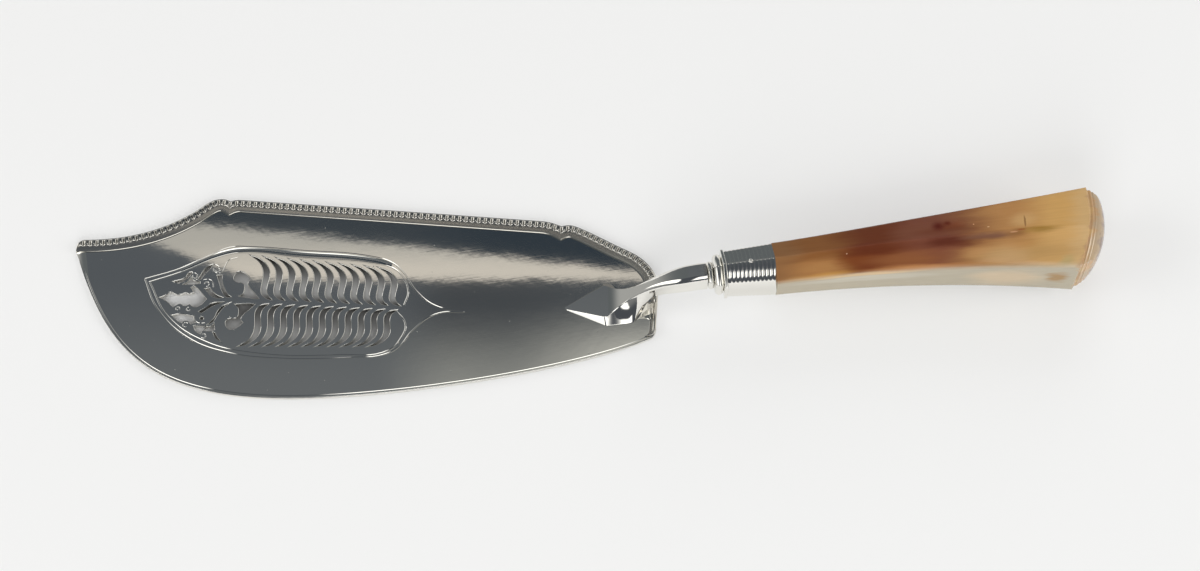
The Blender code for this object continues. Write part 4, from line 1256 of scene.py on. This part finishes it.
# Light of the window, of the dim strip at the far side, and the even light that falls on things
WINDOW_LIGHT = (1.8, 1.8, 1.77, 1.0)
FAR_LIGHT = (0.20, 0.20, 0.20, 1.0)
EVEN_LIGHT = (0.32, 0.32, 0.32, 1.0)


def add_world():
    """A dim room with a bright window side: what the polished silver mirrors."""
    right, up, ahead = view_axes()
    toward = Vector((math.sin(VIEW_TURN), -math.cos(VIEW_TURN), 0.0))
    mirror = Vector((1.0, 1.0, -1.0))
    world = bpy.data.worlds.new("studio")
    world.use_nodes = True
    bpy.context.scene.world = world
    tree = world.node_tree
    tree.nodes.clear()
    direction = add(tree, COORDINATES, {}, {}, "Generated")
    sight, side, rise, front, height = [
        add(tree, VECTOR, {"operation": "DOT_PRODUCT"}, {0: direction, 1: axis}, "Value")
        for axis in (ahead * mirror, right, up * mirror, toward, Vector((0.0, 0.0, 1.0)))]
    # Where the flat blade shows this direction in the photograph, in its pixels
    across = maths(tree, "DIVIDE", side, sight)
    across = maths(tree, "MULTIPLY_ADD", across, FOCAL, IMAGE_WIDTH / 2.0)
    down = maths(tree, "DIVIDE", rise, sight)
    down = maths(tree, "MULTIPLY_ADD", down, -FOCAL, IMAGE_HEIGHT / 2.0)
    # Slate wall, paler downwards and to the right
    slate = mix(tree, ramp(tree, down, 270.0, 400.0), "565b61", "686c70")
    middle = mix(tree, ramp(tree, down, 300.0, 400.0), "464a4f", "8f918f")
    slate = mix(tree, ramp(tree, across, 370.0, 460.0), slate, middle)
    pale = mix(tree, ramp(tree, down, 295.0, 370.0), "50555a", "c6c6c0")
    slate = mix(tree, ramp(tree, across, 500.0, 660.0), slate, pale)
    # Dark strip above the beige band
    navy = mix(tree, ramp(tree, across, 380.0, 520.0), "3d444b", "323b44")
    slope = maths(tree, "MULTIPLY_ADD", across, -0.108, down)
    below = ramp(tree, slope, 198.5, 206.5)
    seen = mix(tree, below, navy, slate)
    # Beige band, cut off aslant at the left
    beige = mix(tree, ramp(tree, down, 238.0, 275.0), "b4b2ad", "d3cdc4")
    edge = maths(tree, "MULTIPLY_ADD", across, 0.3625, 187.0)
    edge = maths(tree, "MINIMUM", edge, 279.8)
    past = maths(tree, "SUBTRACT", down, edge)
    band = maths(tree, "MULTIPLY", below, ramp(tree, past, 3.5, -3.5))
    seen = mix(tree, band, seen, beige)
    # Low down round the room: a wall at the left, grey except at its far end, a dim strip at the far
    # side and a pale wall at the far right
    room = mix(tree, ramp(tree, front, 0.25, 0.55), "5f6467", "4a4e54")
    left_wall = mix(tree, ramp(tree, front, -0.37, -0.42), "a6a7a6", WINDOW_LIGHT)
    room = mix(tree, zone(tree, (side, -0.25, -0.90), (height, 0.90, 0.30)), room, left_wall)
    strip = zone(tree, (front, -0.55, -0.72), (height, 0.30, 0.38), (height, 0.70, 0.60))
    room = mix(tree, strip, room, FAR_LIGHT)
    right_wall = zone(tree, (side, 0.45, 0.65), (height, 0.85, 0.55), (front, 0.45, 0.10))
    room = mix(tree, right_wall, room, "f0f0ee")
    # A window near the camera, above a sill, with a dark shape in front of its left half, and a light
    # overhead
    window = zone(tree, (front, 0.15, 0.50), (height, 0.80, 0.62), (side, 0.52, 0.32), (height, 0.26, 0.36))
    window = maths(tree, "SUBTRACT", window, zone(tree, (side, -0.42, -0.34), (side, 0.02, -0.06)))
    bright = maths(tree, "MAXIMUM", window, ramp(tree, height, 0.985, 0.995))
    room = mix(tree, bright, room, WINDOW_LIGHT)
    colour = mix(tree, ramp(tree, sight, 0.93, 0.965), room, seen)
    # Only the silver and the horn's polish mirror the room; the light that falls on things is even
    mirrored = add(tree, LIGHT_PATH, {}, {}, "Is Glossy Ray")
    colour = mix(tree, mirrored, EVEN_LIGHT, colour)
    light = add(tree, "ShaderNodeBackground", {}, {"Color": colour, "Strength": 1.0})
    add(tree, "ShaderNodeOutputWorld", {}, {"Surface": light})


SLOT_PAINTED_SHADE_LIGHT = 0.18  # brightness of the painted shade on the table below the piercing, as a share of its white
TABLE_WHITE = "efefee"
TABLE_GLOW = 0.42  # share of the table's colour that the camera sees evenly lit


def add_table():
    """White table that keeps soft shadows, with a painted shade below the piercing."""
    table = new_piece("table", bpy.ops.mesh.primitive_plane_add, size=6.0, location=(0.0, 0.0, -0.05 * MM))
    material, tree, place = new_material("white laminate")
    along, across = [add(tree, "ShaderNodeSeparateXYZ", {}, {0: place}, axis) for axis in "XY"]
    # Painted shade: the table is painted dim below the piercing, lighter towards its lower edge, its spine
    # side and its tip
    painted_shade_patch = ramp(tree, oval(tree, place, (-104.0 * MM, 0.0), (46.0 * MM, 22.0 * MM)), 1.1, 0.9)
    light = SLOT_PAINTED_SHADE_LIGHT
    for gain, *limits in (
            (0.55, (across, -3.0 * MM, -15.0 * MM)),
            (0.60, (along, -118.0 * MM, -135.0 * MM)),
            (0.40, (across, 13.0 * MM, 5.0 * MM), (across, 0.0, 4.0 * MM))):
        light = maths(tree, "MULTIPLY_ADD", zone(tree, *limits), gain, light)
    # The painted shade darkens the table's white towards near black below the piercing
    colour = mix(tree, painted_shade_patch, TABLE_WHITE, mix(tree, light, "101110", TABLE_WHITE))
    # Far off, the polished silver mirrors the dim end of the room
    mirrored = add(tree, LIGHT_PATH, {}, {}, "Is Glossy Ray")
    far = maths(tree, "MULTIPLY", ramp(tree, across, 0.12, 0.35), mirrored)
    matte = add(tree, "ShaderNodeBsdfDiffuse", {}, {"Color": mix(tree, far, colour, "5f6467")})
    glow = add(tree, "ShaderNodeEmission", {}, {"Color": linear("f6f6f5"), "Strength": 1.0})
    camera_ray = add(tree, LIGHT_PATH, {}, {}, "Is Camera Ray")
    share = add(tree, RANGE, {}, {0: painted_shade_patch, 1: 0.0, 2: 1.0, 3: TABLE_GLOW, 4: 0.0})
    share = maths(tree, "MULTIPLY", camera_ray, share)
    surface = add(tree, "ShaderNodeMixShader", {}, {0: share, 1: matte, 2: glow})
    add(tree, OUTPUT, {}, {"Surface": surface})
    table.data.materials.append(material)


LAMP_SIZE = 0.9
LAMPS = (
    ("left softbox", (-1.3, -0.2, 0.65), 9.3), ("right softbox", (1.3, -0.2, 0.65), 9.3),
    ("front softbox", (0.0, -1.4, 0.75), 13.0), ("back softbox", (0.2, 1.3, 0.65), 6.0),
)


def add_lamps():
    """Soft light from all sides; the silver doesn't mirror the lamps."""
    for name, place, power in LAMPS:
        light = bpy.data.lights.new(name, "AREA")
        light.shape = "SQUARE"
        light.size = LAMP_SIZE
        light.energy = power
        lamp = bpy.data.objects.new(name, light)
        lamp.location = place
        lamp.rotation_euler = (-Vector(place)).to_track_quat("-Z", "Y").to_euler()
        lamp.visible_glossy = False
        bpy.context.scene.collection.objects.link(lamp)


add_camera()
outlines = top_outlines("blade")
fine_silver = polished_silver("fitting silver", 0.08)
add_blade(outlines, polished_silver("blade silver", 0.02, 1.0))
# The border is a shade darker, as tarnish stays between its lobes
add_borders(outlines[0], polished_silver("toned border silver", 0.08, colour="dad6ce"))
add_stem(polished_silver("stem silver", 0.05))
add_collar_ring("collar_bead_front", "collar_front_ring", FRONT_RING, FRONT_RING_FLATS, fine_silver)
add_collar_ring("collar_bead_rear", "collar_rear_ring", REAR_RING, REAR_RING_FLATS, fine_silver)
add_plate(fine_silver)
add_ferrule(fine_silver)
add_pin(fine_silver)
add_handle(polished_horn("polished horn"))
hidden_pieces = {"tang": forged_steel("forged steel"), "resin_filling": cutlers_resin("cutler's resin")}
for node, hidden in hidden_pieces.items():
    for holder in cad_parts[node].material_slots:
        holder.material = hidden
add_world()
add_table()
add_lamps()
bpy.context.scene.view_settings.view_transform = "Standard"
